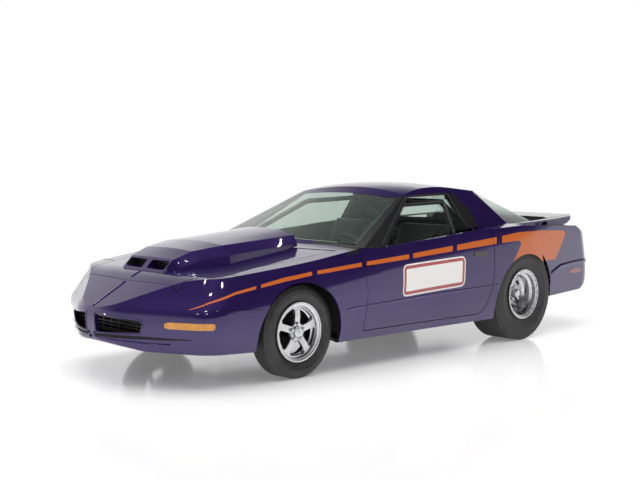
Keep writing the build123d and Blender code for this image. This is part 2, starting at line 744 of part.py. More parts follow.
# Rear wing: centre on the hatch, ends on the quarters
WING_TOP = ((-1215, 972), (-1900, 1000), (-2272, 1022))
WING_UNDER = ((-2266, 1010), (-2150, 946), (-1900, 900), (-1215, 900))
WING_OVERHANG = ((-1500, 900), (-1560, 972), (-1900, 986), (-2290, 1011), (-2290, 900))
WING_FOOT_Y = 684
wing_side = side_region((*WING_TOP, *WING_UNDER), -1000, 1000)
WING_OUTER = ((-1200, 752), (-1750, 750), (-2150, 722), (-2276, 640), (-2290, 0))
WING_INNER = ((-1985, 0), (-1965, 560), (-1900, 640), (-1200, 722))
with BuildPart() as wing_plan:
    with BuildSketch(Plane.XY.offset(850)):
        with BuildLine():
            Polyline(*WING_OUTER, *WING_INNER, close=True)
        make_face()
    extrude(amount=300)
    mirror(about=Plane.XZ)

with BuildPart() as wing_whole:
    add(wing_plan.part)
    add(wing_side, mode=Mode.INTERSECT)
    add(lower_outer, mode=Mode.SUBTRACT)
    add(cabin_outer, mode=Mode.SUBTRACT)
    for side in (1, -1):
        add(side_region(WING_OVERHANG, side * WING_FOOT_Y, side * 1000), mode=Mode.SUBTRACT)

wing_split = plan_region(((-1200, 655), (-2400, 655)), 800, 1200)
with BuildPart() as wing_centre:
    add(wing_whole.part)
    add(wing_split, mode=Mode.INTERSECT)

wing_gap = plan_region(((-1100, 661), (-2400, 661)), 800, 1200)
with BuildPart() as wing_end_left:
    add(wing_whole.part)
    add(block((-2400, -1000), (0, 900), (800, 1200)), mode=Mode.INTERSECT)
    add(wing_gap, mode=Mode.SUBTRACT)
    add(hatch_hole, mode=Mode.SUBTRACT)


# Structure behind the panels
FIREWALL_X = (870, 886)
CORE_X = (1905, 1925)
BEAM_X = (2120, 2150)
FLOOR_HALF = 780
RAIL_Y = (430, 490)
RAIL_Z = (264, 340)
APRON_Y = (478, 490)
TRUNK_Z = (560, 572)
KICK_X = (-892, -880)
TUB_RADIUS = 432
TUB_WALL = 6
TUB_INNER_Y = 520
TUNNEL_HALF = 130
TUNNEL_TOP = 480
FLOOR_TOP = SILL_HEIGHT + PANEL + 8

with BuildPart() as floor_pan:
    add(lower_shell.part)
    add(block((KICK_X[0], 1000), (-500, 500), (200, SILL_HEIGHT + PANEL)), mode=Mode.INTERSECT)
    add(block((KICK_X[0], FIREWALL_X[1]), (-FLOOR_HALF, FLOOR_HALF), (SILL_HEIGHT + PANEL, FLOOR_TOP)))
    add(block((KICK_X[1], FIREWALL_X[0]), (-TUNNEL_HALF, TUNNEL_HALF), (SILL_HEIGHT + PANEL, TUNNEL_TOP)))
    add(block((KICK_X[0] - 1, 1001), (12 - TUNNEL_HALF, TUNNEL_HALF - 12), (100, TUNNEL_TOP - 12)),
        mode=Mode.SUBTRACT)
    for side in (1, -1):
        add(cross_pin(REAR_AXLE_X, AXLE_Z, side * TUB_INNER_Y, side * 1000, TUB_RADIUS), mode=Mode.SUBTRACT)

with BuildPart() as firewall:
    add(lower_inner)
    add(block(FIREWALL_X, (-900, 900), (FLOOR_TOP, 900)), mode=Mode.INTERSECT)
    add(block((FIREWALL_X[0] - 1, FIREWALL_X[1] + 1), (12 - TUNNEL_HALF, TUNNEL_HALF - 12), (200, TUNNEL_TOP - 12)),
        mode=Mode.SUBTRACT)

with BuildPart() as core_support:
    add(lower_inner)
    add(block(CORE_X, (-860, 860), (340, 760)), mode=Mode.INTERSECT)
    add(block((CORE_X[0] - 1, CORE_X[1] + 1), (-660, 660), (700, 800)), mode=Mode.SUBTRACT)
    with BuildSketch(Plane.YZ.offset(CORE_X[0] - 1)):
        with Locations((0, 500)):
            RectangleRounded(760, 250, 30)
    extrude(amount=30, mode=Mode.SUBTRACT)

# Front frame: rails, aprons with strut towers, crossmember, bumper beam, control arms and steering rack
TOWER_Z = (684, 696)
BALL_JOINT_Z = 196
with BuildPart() as front_frame:
    for side in (1, -1):
        rail_y = sorted((side * RAIL_Y[0], side * RAIL_Y[1]))
        add(block((FIREWALL_X[1], BEAM_X[1]), rail_y, RAIL_Z))
        add(block((FIREWALL_X[1], CORE_X[0]), sorted((side * APRON_Y[0], side * APRON_Y[1])), (RAIL_Z[1], TOWER_Z[1])))
        add(block((FRONT_AXLE_X - 90, FRONT_AXLE_X + 90), sorted((side * APRON_Y[1], side * 730)), TOWER_Z))
        add(block((FRONT_AXLE_X - 45, FRONT_AXLE_X + 45), sorted((side * 400, side * (KINGPIN_Y + 30))),
                  (BALL_JOINT_Z - 24, BALL_JOINT_Z)))
    add(block((FRONT_AXLE_X - 85, FRONT_AXLE_X + 85), (-RAIL_Y[1], RAIL_Y[1]), (BALL_JOINT_Z - 24, RAIL_Z[0])))
    add(block(BEAM_X, (-RAIL_Y[1], RAIL_Y[1]), RAIL_Z))
    add(cross_pin(FRONT_AXLE_X - 120, 250, -RAIL_Y[0], RAIL_Y[0], 24))

# Engine as one plain block on two mounts, gearbox and propeller shaft
with BuildPart() as engine:
    with BuildSketch(Plane.YZ.offset(1000)):
        with BuildLine():
            Polyline((-110, 285), (-290, 560), (-250, 690), (250, 690), (290, 560), (110, 285), close=True)
        make_face()
    extrude(amount=620)
    add(block((FRONT_AXLE_X - 40, FRONT_AXLE_X + 40), (-180, 180), (RAIL_Z[0], 300)))

REAR_FACE = (740, 756)
AXLE_TUBE_END_Y = 632
AXLE_STUB_RADIUS = 30
AXLE_STUB_END_Y = REAR_FACE[1] - 2
BRAKE_RADIUS = 132
with BuildPart() as rear_axle:
    add(cross_pin(REAR_AXLE_X, AXLE_Z, -AXLE_TUBE_END_Y, AXLE_TUBE_END_Y, 40))
    add(cross_pin(REAR_AXLE_X, AXLE_Z, -AXLE_STUB_END_Y, AXLE_STUB_END_Y, AXLE_STUB_RADIUS))
    for side in (1, -1):
        add(cross_pin(REAR_AXLE_X, AXLE_Z, side * AXLE_TUBE_END_Y, side * (REAR_FACE[0] - RUNNING_GAP), BRAKE_RADIUS))
    with Locations((REAR_AXLE_X, 0, AXLE_Z)):
        Sphere(130)

GEARBOX_X = (560, 1000)
SHAFT_Z = 375
with BuildPart() as gearbox:
    with BuildSketch(Plane.YZ.offset(GEARBOX_X[0])):
        with Locations((0, 350)):
            RectangleRounded(200, 200, 40)
    with BuildSketch(Plane.YZ.offset(GEARBOX_X[1])):
        with Locations((0, 360)):
            RectangleRounded(230, 210, 40)
    loft()
    add(bar(((GEARBOX_X[0], 0, SHAFT_Z), (REAR_AXLE_X, 0, SHAFT_Z)), 36, 0))
    add(rear_axle.part, mode=Mode.SUBTRACT)

# Ladder links and coil-over units
LINK_Y = 330
COIL_Y = 400
with BuildPart() as rear_suspension:
    for side in (1, -1):
        add(bar(((REAR_AXLE_X, side * LINK_Y, AXLE_Z - 60), (KICK_X[1], side * LINK_Y, 290)), 20, 0))
        add(block((REAR_AXLE_X - 22, REAR_AXLE_X + 22), sorted((side * (LINK_Y - 25), side * (LINK_Y + 25))),
                  (AXLE_Z - 84, AXLE_Z - 40)))
        add(post(REAR_AXLE_X, side * COIL_Y, AXLE_Z + 20, TRUNK_Z[0], 24))
        for turn in range(4):
            add(post(REAR_AXLE_X, side * COIL_Y, AXLE_Z + 54 + 28 * turn, AXLE_Z + 66 + 28 * turn, 42))
    add(block((KICK_X[0], 0), (-500, 500), (200, 500)), mode=Mode.SUBTRACT)
    add(rear_axle.part, mode=Mode.SUBTRACT)

# Rear floor, frame rails and wheel tubs
with BuildPart() as rear_floor:
    add(lower_inner)
    add(block((-2340, KICK_X[1]), (-TUB_INNER_Y, TUB_INNER_Y), TRUNK_Z), mode=Mode.INTERSECT)
    add(block(KICK_X, (-TUB_INNER_Y, TUB_INNER_Y), (FLOOR_TOP, TRUNK_Z[0])))
    add(block((KICK_X[0] - 1, KICK_X[1] + 1), (12 - TUNNEL_HALF, TUNNEL_HALF - 12), (200, TUNNEL_TOP - 12)),
        mode=Mode.SUBTRACT)
    for side in (1, -1):
        add(block((-2250, KICK_X[0]), sorted((side * 450, side * 510)), (470, TRUNK_Z[0])))

with BuildPart() as wheel_tub_left:
    add(cross_pin(REAR_AXLE_X, AXLE_Z, TUB_INNER_Y, 1000, TUB_RADIUS))
    add(cross_pin(REAR_AXLE_X, AXLE_Z, TUB_INNER_Y + TUB_WALL, 1000, TUB_RADIUS - TUB_WALL), mode=Mode.SUBTRACT)
    add(cross_pin(REAR_AXLE_X, AXLE_Z, TUB_INNER_Y - 1, TUB_INNER_Y + 20, 90), mode=Mode.SUBTRACT)
    add(block((REAR_AXLE_X - 90, REAR_AXLE_X + 90), (TUB_INNER_Y - 1, TUB_INNER_Y + 20), (-100, AXLE_Z)),
        mode=Mode.SUBTRACT)
    add(lower_inner, mode=Mode.INTERSECT)
    with BuildSketch(Plane.XZ):
        with Locations((REAR_ARCH_X, REAR_ARCH_Z)):
            Circle(REAR_ARCH_RADIUS)
        with Locations((REAR_AXLE_X, AXLE_Z)):
            Circle(TUB_RADIUS, mode=Mode.SUBTRACT)
    extrude(amount=-1000, mode=Mode.SUBTRACT)

# Fuel cell, seats, dash, steering wheel
with BuildPart() as fuel_cell:
    with BuildSketch(Plane.XY.offset(TRUNK_Z[1])):
        with Locations((-1980, 0)):
            RectangleRounded(420, 560, 30)
    extrude(amount=230)

SEAT_Y = 380
SEAT_HALF = 235
SEAT_BOLSTER = 60
SEAT_SIDE = ((60, FLOOR_TOP), (150, 300), (165, 400), (-310, 372), (-500, 980), (-575, 980), (-430, 300),
             (-400, FLOOR_TOP))
SEAT_SHELL = ((150, 300), (175, 455), (-250, 500), (-380, 700), (-470, 960), (-575, 980), (-430, 300), (-400, 280))
with BuildPart() as seat_left:
    with BuildSketch(Plane.XZ.offset(-(SEAT_Y - SEAT_HALF))) as seat_side:
        with BuildLine():
            Polyline(*SEAT_SIDE, close=True)
        make_face()
        fillet(seat_side.vertices(), 14)
    extrude(amount=-2 * SEAT_HALF)
    for edge in (SEAT_Y - SEAT_HALF, SEAT_Y + SEAT_HALF - SEAT_BOLSTER):
        with BuildSketch(Plane.XZ.offset(-edge)) as bolster:
            with BuildLine():
                Polyline(*SEAT_SHELL, close=True)
            make_face()
            fillet(bolster.vertices(), 14)
        extrude(amount=-SEAT_BOLSTER)

DASH_HALF = 600
DASH = ((600, 640), (560, 700), (570, 800), (640, 836), (790, 836), (FIREWALL_X[0], 800), (FIREWALL_X[0], 640))
WHEEL_CENTRE = (372, SEAT_Y, 770)
COLUMN_TILT = 22
COLUMN_RADIUS = 22
COLUMN_FOOT_X = 620
with BuildPart() as steering_wheel:
    with Locations(Location(WHEEL_CENTRE, (0, 90 + COLUMN_TILT, 0))):
        Torus(172, 15)
        Cylinder(40, 24)
        for turn in (90, 210, 330):
            with Locations(Location((0, 0, 0), (0, 0, turn))):
                with Locations((86, 0, 0)):
                    Box(176, 26, 8)

with BuildPart() as dash:
    with BuildSketch(Plane.XZ.offset(-DASH_HALF)):
        with BuildLine():
            Polyline(*DASH, close=True)
        make_face()
    extrude(amount=2 * DASH_HALF)
    column_foot = (COLUMN_FOOT_X, SEAT_Y,
                   WHEEL_CENTRE[2] - (COLUMN_FOOT_X - WHEEL_CENTRE[0]) * tan(radians(COLUMN_TILT)))
    add(bar((WHEEL_CENTRE, column_foot), COLUMN_RADIUS, 0))
    add(steering_wheel.part, mode=Mode.SUBTRACT)

# Roll cage
CAGE_RADIUS = 20
HOOP_X = -605
HOOP_HALF = 640
HOOP_TOP = (505, 1168)
with BuildPart() as roll_cage:
    add(bar(((HOOP_X, -HOOP_HALF, FLOOR_TOP), (HOOP_X, -HOOP_HALF, 860), (HOOP_X, -HOOP_TOP[0], HOOP_TOP[1]),
             (HOOP_X, HOOP_TOP[0], HOOP_TOP[1]), (HOOP_X, HOOP_HALF, 860), (HOOP_X, HOOP_HALF, FLOOR_TOP)),
            CAGE_RADIUS, (200, 110, 110, 200)))
    add(bar(((HOOP_X, -HOOP_HALF, 800), (HOOP_X, HOOP_HALF, 800)), CAGE_RADIUS, 0))
    for side in (1, -1):
        add(bar(((HOOP_X, side * 490, HOOP_TOP[1]), (0, side * 480, 1150), (600, side * 640, 850),
                 (640, side * 660, 600), (640, side * 660, FLOOR_TOP)), CAGE_RADIUS, (150, 100, 100)))
        add(bar(((HOOP_X, side * HOOP_HALF, 640), (632, side * 655, 420)), CAGE_RADIUS, 0))
        add(bar(((HOOP_X, side * 470, HOOP_TOP[1]), (-1640, side * 470, TRUNK_Z[1] - 24)), CAGE_RADIUS, 0))
    add(block((-1800, -1400), (-TUB_INNER_Y, TUB_INNER_Y), (400, TRUNK_Z[1])), mode=Mode.SUBTRACT)

# Exhaust pipes under the floor
EXHAUST_RADIUS = 36
EXHAUST_Z = SILL_HEIGHT - EXHAUST_RADIUS
with BuildPart() as exhaust:
    for side in (1, -1):
        add(bar(((1150, side * 300, 400), (1150, side * 330, EXHAUST_Z), (600, side * 250, EXHAUST_Z),
                 (-700, side * 250, EXHAUST_Z)), EXHAUST_RADIUS, (90, 300)))
    add(engine.part, mode=Mode.SUBTRACT)


def wheel_plane(axle_x, axle_z):
    """Plane through a wheel's axis, with its sketches in distance along Y and radius."""
    return Plane(origin=(axle_x, 0, axle_z), x_dir=(0, 1, 0), z_dir=(1, 0, 0))


def rim_profile(outer, inner):
    """Closed profile of a rim barrel with a drop centre between two flange planes."""
    bead = RIM_RADIUS - 18
    drop = bead - 24
    outside = (
        (outer, RIM_RADIUS), (outer - 7, RIM_RADIUS), (outer - 12, bead), (outer - 44, bead), (outer - 56, drop),
        (inner + 56, drop), (inner + 44, bead), (inner + 12, bead), (inner + 7, RIM_RADIUS), (inner, RIM_RADIUS),
    )
    inside = [(y, r - RIM_WALL) for y, r in reversed(outside)]
    return (*outside, *inside)


def tyre_profile(outer, inner, radius, outer_flange, inner_flange):
    """Closed profile of a tyre that sits on the rim's beads."""
    bead = RIM_RADIUS - 18
    wall = 14
    shoulder = 26
    middle = (radius + RIM_RADIUS) / 2
    return (
        (outer_flange - 14, bead), (outer_flange - 14, RIM_RADIUS + 3), (outer, middle), (outer - 6, radius - shoulder),
        (outer - shoulder, radius), (inner + shoulder, radius), (inner + 6, radius - shoulder), (inner, middle),
        (inner_flange + 14, RIM_RADIUS + 3), (inner_flange + 14, bead), (inner_flange + 30, bead),
        (inner + wall + 6, middle), (inner + wall + shoulder, radius - wall),
        (outer - wall - shoulder, radius - wall), (outer - wall - 6, middle), (outer_flange - 30, bead),
    )


def ring(points, axle_x, axle_z):
    """Turn a closed profile about a wheel's axis."""
    with BuildPart() as turned:
        with BuildSketch(wheel_plane(axle_x, axle_z)):
            with BuildLine():
                Polyline(*points, close=True)
            make_face()
        revolve(axis=Axis((axle_x, 0, axle_z), (0, 1, 0)))
    return turned.part


FRONT_AXLE_Z = FRONT_TYRE_RADIUS
FRONT_FLANGES = (FRONT_TYRE_OUTER_Y - 14, FRONT_TYRE_OUTER_Y - FRONT_TYRE_WIDTH + 22)
REAR_FLANGES = (REAR_TYRE_OUTER_Y - 10, REAR_TYRE_OUTER_Y - REAR_TYRE_WIDTH + 14)
SPINDLE_RADIUS = 16
DISC_Y = (690, 710)
DISC_RADIUS = 126
FRONT_FACE = (FRONT_FLANGES[0] - 52, FRONT_FLANGES[0] - 22)


def disc_face(axle_x, y, axle_z):
    """Plane across a wheel's axis, for sketches seen from the side of the car."""
    return Plane(origin=(axle_x, y, axle_z), x_dir=(1, 0, 0), z_dir=(0, -1, 0))


SPOKES = 5
WINDOW_SHAPE = ((60, -15), (60, 15), (138, 72), (160, 62), (168, 0), (160, -62), (138, -72))
with BuildPart() as front_wheel_left:
    add(ring(((FRONT_FACE[0], 0), (FRONT_FACE[0] + 8, 110), (FRONT_FLANGES[0] - 54, RIM_RADIUS - 32),
              (FRONT_FLANGES[0] - 26, RIM_RADIUS - 30), (FRONT_FACE[1] + 2, 110), (FRONT_FACE[1] - 6, 42),
              (FRONT_FACE[1] + 12, 36), (FRONT_FACE[1] + 18, 0)), FRONT_AXLE_X, FRONT_AXLE_Z))
    with BuildSketch(disc_face(FRONT_AXLE_X, 900, FRONT_AXLE_Z)) as windows:
        with PolarLocations(0, SPOKES, start_angle=90 - 180 / SPOKES):
            Polygon(*WINDOW_SHAPE, align=None)
        fillet(windows.vertices(), 9)
    extrude(amount=250, mode=Mode.SUBTRACT)
    add(ring(rim_profile(*FRONT_FLANGES), FRONT_AXLE_X, FRONT_AXLE_Z))
    add(cross_pin(FRONT_AXLE_X, FRONT_AXLE_Z, DISC_Y[0], FRONT_FACE[0] + 4, 46))
    add(cross_pin(FRONT_AXLE_X, FRONT_AXLE_Z, DISC_Y[0], DISC_Y[1], DISC_RADIUS))
    add(cross_pin(FRONT_AXLE_X, FRONT_AXLE_Z, DISC_Y[0] - 1, FRONT_FACE[0] + 10, SPINDLE_RADIUS + 0.05),
        mode=Mode.SUBTRACT)

with BuildPart() as front_tyre_left:
    front_tyre = tyre_profile(FRONT_TYRE_OUTER_Y, FRONT_TYRE_OUTER_Y - FRONT_TYRE_WIDTH, FRONT_TYRE_RADIUS,
                              *FRONT_FLANGES)
    add(ring(front_tyre, FRONT_AXLE_X, FRONT_AXLE_Z))

SLOTS = 8
with BuildPart() as rear_wheel_left:
    add(ring(((REAR_FACE[0], 0), (REAR_FACE[0], 150), (REAR_FACE[0] + 20, RIM_RADIUS - 47),
              (REAR_FACE[1] + 20, RIM_RADIUS - 47), (REAR_FACE[1], 140), (REAR_FACE[1], 50),
              (REAR_FACE[1] + 16, 44), (REAR_FACE[1] + 16, 0)), REAR_AXLE_X, AXLE_Z))
    with BuildSketch(disc_face(REAR_AXLE_X, 900, AXLE_Z)):
        with PolarLocations(112, SLOTS):
            RectangleRounded(34, 46, 12)
    extrude(amount=250, mode=Mode.SUBTRACT)
    add(ring(rim_profile(*REAR_FLANGES), REAR_AXLE_X, AXLE_Z))
    add(cross_pin(REAR_AXLE_X, AXLE_Z, REAR_FACE[0] - 1, AXLE_STUB_END_Y + 1, AXLE_STUB_RADIUS + 0.05),
        mode=Mode.SUBTRACT)

with BuildPart() as rear_tyre_left:
    rear_tyre = tyre_profile(REAR_TYRE_OUTER_Y, REAR_TYRE_OUTER_Y - REAR_TYRE_WIDTH, REAR_TYRE_RADIUS, *REAR_FLANGES)
    add(ring(rear_tyre, REAR_AXLE_X, AXLE_Z))

# Knuckles: upright on the ball joint, spindle, strut under its tower and brake caliper
UPRIGHT_Y = (608, 664)
with BuildPart() as knuckle_left:
    add(block((FRONT_AXLE_X - 34, FRONT_AXLE_X + 34), UPRIGHT_Y, (BALL_JOINT_Z + RUNNING_GAP, 430)))
    add(cross_pin(FRONT_AXLE_X, FRONT_AXLE_Z, UPRIGHT_Y[0], FRONT_FACE[0] + 8, SPINDLE_RADIUS))
    add(post(FRONT_AXLE_X, KINGPIN_Y, 420, TOWER_Z[0] - RUNNING_GAP, 22))
    add(post(FRONT_AXLE_X, KINGPIN_Y, 470, 480, 28))
    add(block((FRONT_AXLE_X - 140, FRONT_AXLE_X - 82), (674, 724), (FRONT_AXLE_Z - 42, FRONT_AXLE_Z + 42)))
    add(cross_pin(FRONT_AXLE_X, FRONT_AXLE_Z, DISC_Y[0] - 6, DISC_Y[1] + 6, DISC_RADIUS + 6), mode=Mode.SUBTRACT)
    add(block((FRONT_AXLE_X - 140, FRONT_AXLE_X - 20), (650, 680), (FRONT_AXLE_Z - 30, FRONT_AXLE_Z + 30)))
    add(cross_pin(FRONT_AXLE_X, FRONT_AXLE_Z, UPRIGHT_Y[0], FRONT_FACE[0] + 8, SPINDLE_RADIUS))

# Gooseneck arms on the hatch and their brackets under the roof
ARM_PATH = ((0, 0), (-95, -105), (-157, -62), (-157, 60))
HATCH_ARM_HALF = 8
with BuildPart() as hatch_arms:
    for side in (1, -1):
        with BuildSketch(Plane.XZ.offset(-(side * HATCH_HINGE_Y - HATCH_ARM_HALF))):
            with BuildLine() as path:
                FilletPolyline(*((HATCH_HINGE_X + x, HATCH_HINGE_Z + z) for x, z in ARM_PATH), radius=(24, 24))
            trace(path.line, line_width=2 * HATCH_ARM_HALF)
            with Locations((HATCH_HINGE_X, HATCH_HINGE_Z)):
                Circle(HATCH_PIN_RADIUS + 8)
                Circle(HATCH_PIN_RADIUS + 0.05, mode=Mode.SUBTRACT)
        extrude(amount=-2 * HATCH_ARM_HALF)

with BuildPart() as hatch_with_arms:
    add(hatch_arms.part)
    add(cabin_outer, mode=Mode.INTERSECT)
    add(hatch.part)

with BuildPart() as roof_with_hinges:
    for side in (1, -1):
        centre = side * HATCH_HINGE_Y
        add(cross_pin(HATCH_HINGE_X, HATCH_HINGE_Z, centre - 20, centre + 20, HATCH_PIN_RADIUS))
        for edge in (-20, 11):
            add(block((HATCH_HINGE_X - 12, HATCH_HINGE_X + 12), (centre + edge, centre + edge + 9),
                      (HATCH_HINGE_Z - 12, HATCH_HINGE_Z + 140)))
    add(cabin_inner, mode=Mode.INTERSECT)
    add(roof.part)

with BuildPart() as door_with_handle:
    add(door_left.part)
    add(door_handle_left.part)

pieces = {
    "front_fascia": front_fascia.part,
    "nostril_grille": nostril_grille.part,
    "marker_lamps": both(marker_lamp_left),
    "hood": hood_with_bores.part,
    "hood_scoop": hood_scoop.part,
    "scoop_screens": scoop_screen.part,
    "cowl": cowl.part,
    "roof": roof_with_hinges.part,
    "windscreen": windscreen.part,
    "hatch": hatch_with_arms.part,
    "hatch_glass": hatch_glass.part,
    "wing_centre": wing_centre.part,
    "wing_ends": both(wing_end_left),
    "rear_fascia": rear_fascia.part,
    "tail_lamps": both(tail_lamp_left),
    "floor_pan": floor_pan.part,
    "firewall": firewall.part,
    "hinge_pillars": both(hinge_pillar_left),
    "core_support": core_support.part,
    "front_frame": front_frame.part,
    "engine": engine.part,
    "gearbox": gearbox.part,
    "exhaust": exhaust.part,
    "rear_axle": rear_axle.part,
    "rear_suspension": rear_suspension.part,
    "rear_floor": rear_floor.part,
    "wheel_tubs": both(wheel_tub_left),
    "fuel_cell": fuel_cell.part,
    "race_seats": both(seat_left),
    "dash": dash.part,
    "steering_wheel": steering_wheel.part,
    "roll_cage": roll_cage.part,
}
pairs = {
    "fender": fender_with_pin,
    "door": door_with_handle,
    "door_glass": door_glass_left,
    "quarter": quarter_left,
    "knuckle": knuckle_left,
    "front_wheel": front_wheel_left,
    "front_tyre": front_tyre_left,
    "rear_wheel": rear_wheel_left,
    "rear_tyre": rear_tyre_left,
}
for label, solid in pieces.items():
    save(solid, label)
for label, piece in pairs.items():
    save(piece.part, f"{label}_left")
    save(mirrored(piece.part), f"{label}_right")
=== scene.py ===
"""Drag racing car: finishes, small fittings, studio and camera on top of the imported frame.

Lengths are in metres in the frame of the model: +X towards the nose, +Y to the car's left, +Z up.
"""

from __future__ import annotations

import json
import logging
import math
from collections.abc import Iterable, Sequence
from dataclasses import dataclass
from enum import Enum
from typing import Protocol

import bmesh
import bpy
from mathutils import Matrix, Vector
from mathutils.bvhtree import BVHTree

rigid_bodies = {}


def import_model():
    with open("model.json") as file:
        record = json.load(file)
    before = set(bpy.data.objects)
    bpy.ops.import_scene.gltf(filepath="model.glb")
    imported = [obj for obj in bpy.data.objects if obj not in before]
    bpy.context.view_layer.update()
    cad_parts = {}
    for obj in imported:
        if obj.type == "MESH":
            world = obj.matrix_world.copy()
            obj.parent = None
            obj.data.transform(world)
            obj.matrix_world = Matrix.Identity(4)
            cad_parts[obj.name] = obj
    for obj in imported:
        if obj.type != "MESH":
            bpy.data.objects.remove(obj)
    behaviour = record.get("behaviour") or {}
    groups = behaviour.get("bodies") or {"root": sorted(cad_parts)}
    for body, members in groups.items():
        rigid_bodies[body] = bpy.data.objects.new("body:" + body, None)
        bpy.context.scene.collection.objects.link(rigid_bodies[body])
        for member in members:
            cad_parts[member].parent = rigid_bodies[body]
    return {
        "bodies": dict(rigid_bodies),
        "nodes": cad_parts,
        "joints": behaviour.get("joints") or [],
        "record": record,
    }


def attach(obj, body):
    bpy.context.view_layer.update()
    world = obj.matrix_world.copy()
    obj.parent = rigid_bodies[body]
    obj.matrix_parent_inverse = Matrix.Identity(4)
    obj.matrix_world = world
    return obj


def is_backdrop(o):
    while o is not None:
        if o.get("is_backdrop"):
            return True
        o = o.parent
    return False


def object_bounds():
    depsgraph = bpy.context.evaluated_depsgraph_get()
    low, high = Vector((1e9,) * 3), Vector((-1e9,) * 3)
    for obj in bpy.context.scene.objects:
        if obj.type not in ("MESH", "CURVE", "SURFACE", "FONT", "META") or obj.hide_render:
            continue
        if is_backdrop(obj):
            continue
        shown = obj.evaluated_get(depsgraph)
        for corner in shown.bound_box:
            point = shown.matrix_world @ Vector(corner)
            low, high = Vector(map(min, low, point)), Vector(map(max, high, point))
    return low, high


LOG = logging.getLogger("drag_car")
FLOAT = "NodeSocketFloat"

Point = tuple[float, float]
Place = tuple[float, float, float]
Colour = tuple[float, float, float, float]
Socket = bpy.types.NodeSocket
Term = Socket | float
Tree = bpy.types.NodeTree
Shape = bmesh.types.BMesh


class Side(Enum):
    """Side of the car, as the sign of its Y."""

    LEFT = 1
    RIGHT = -1


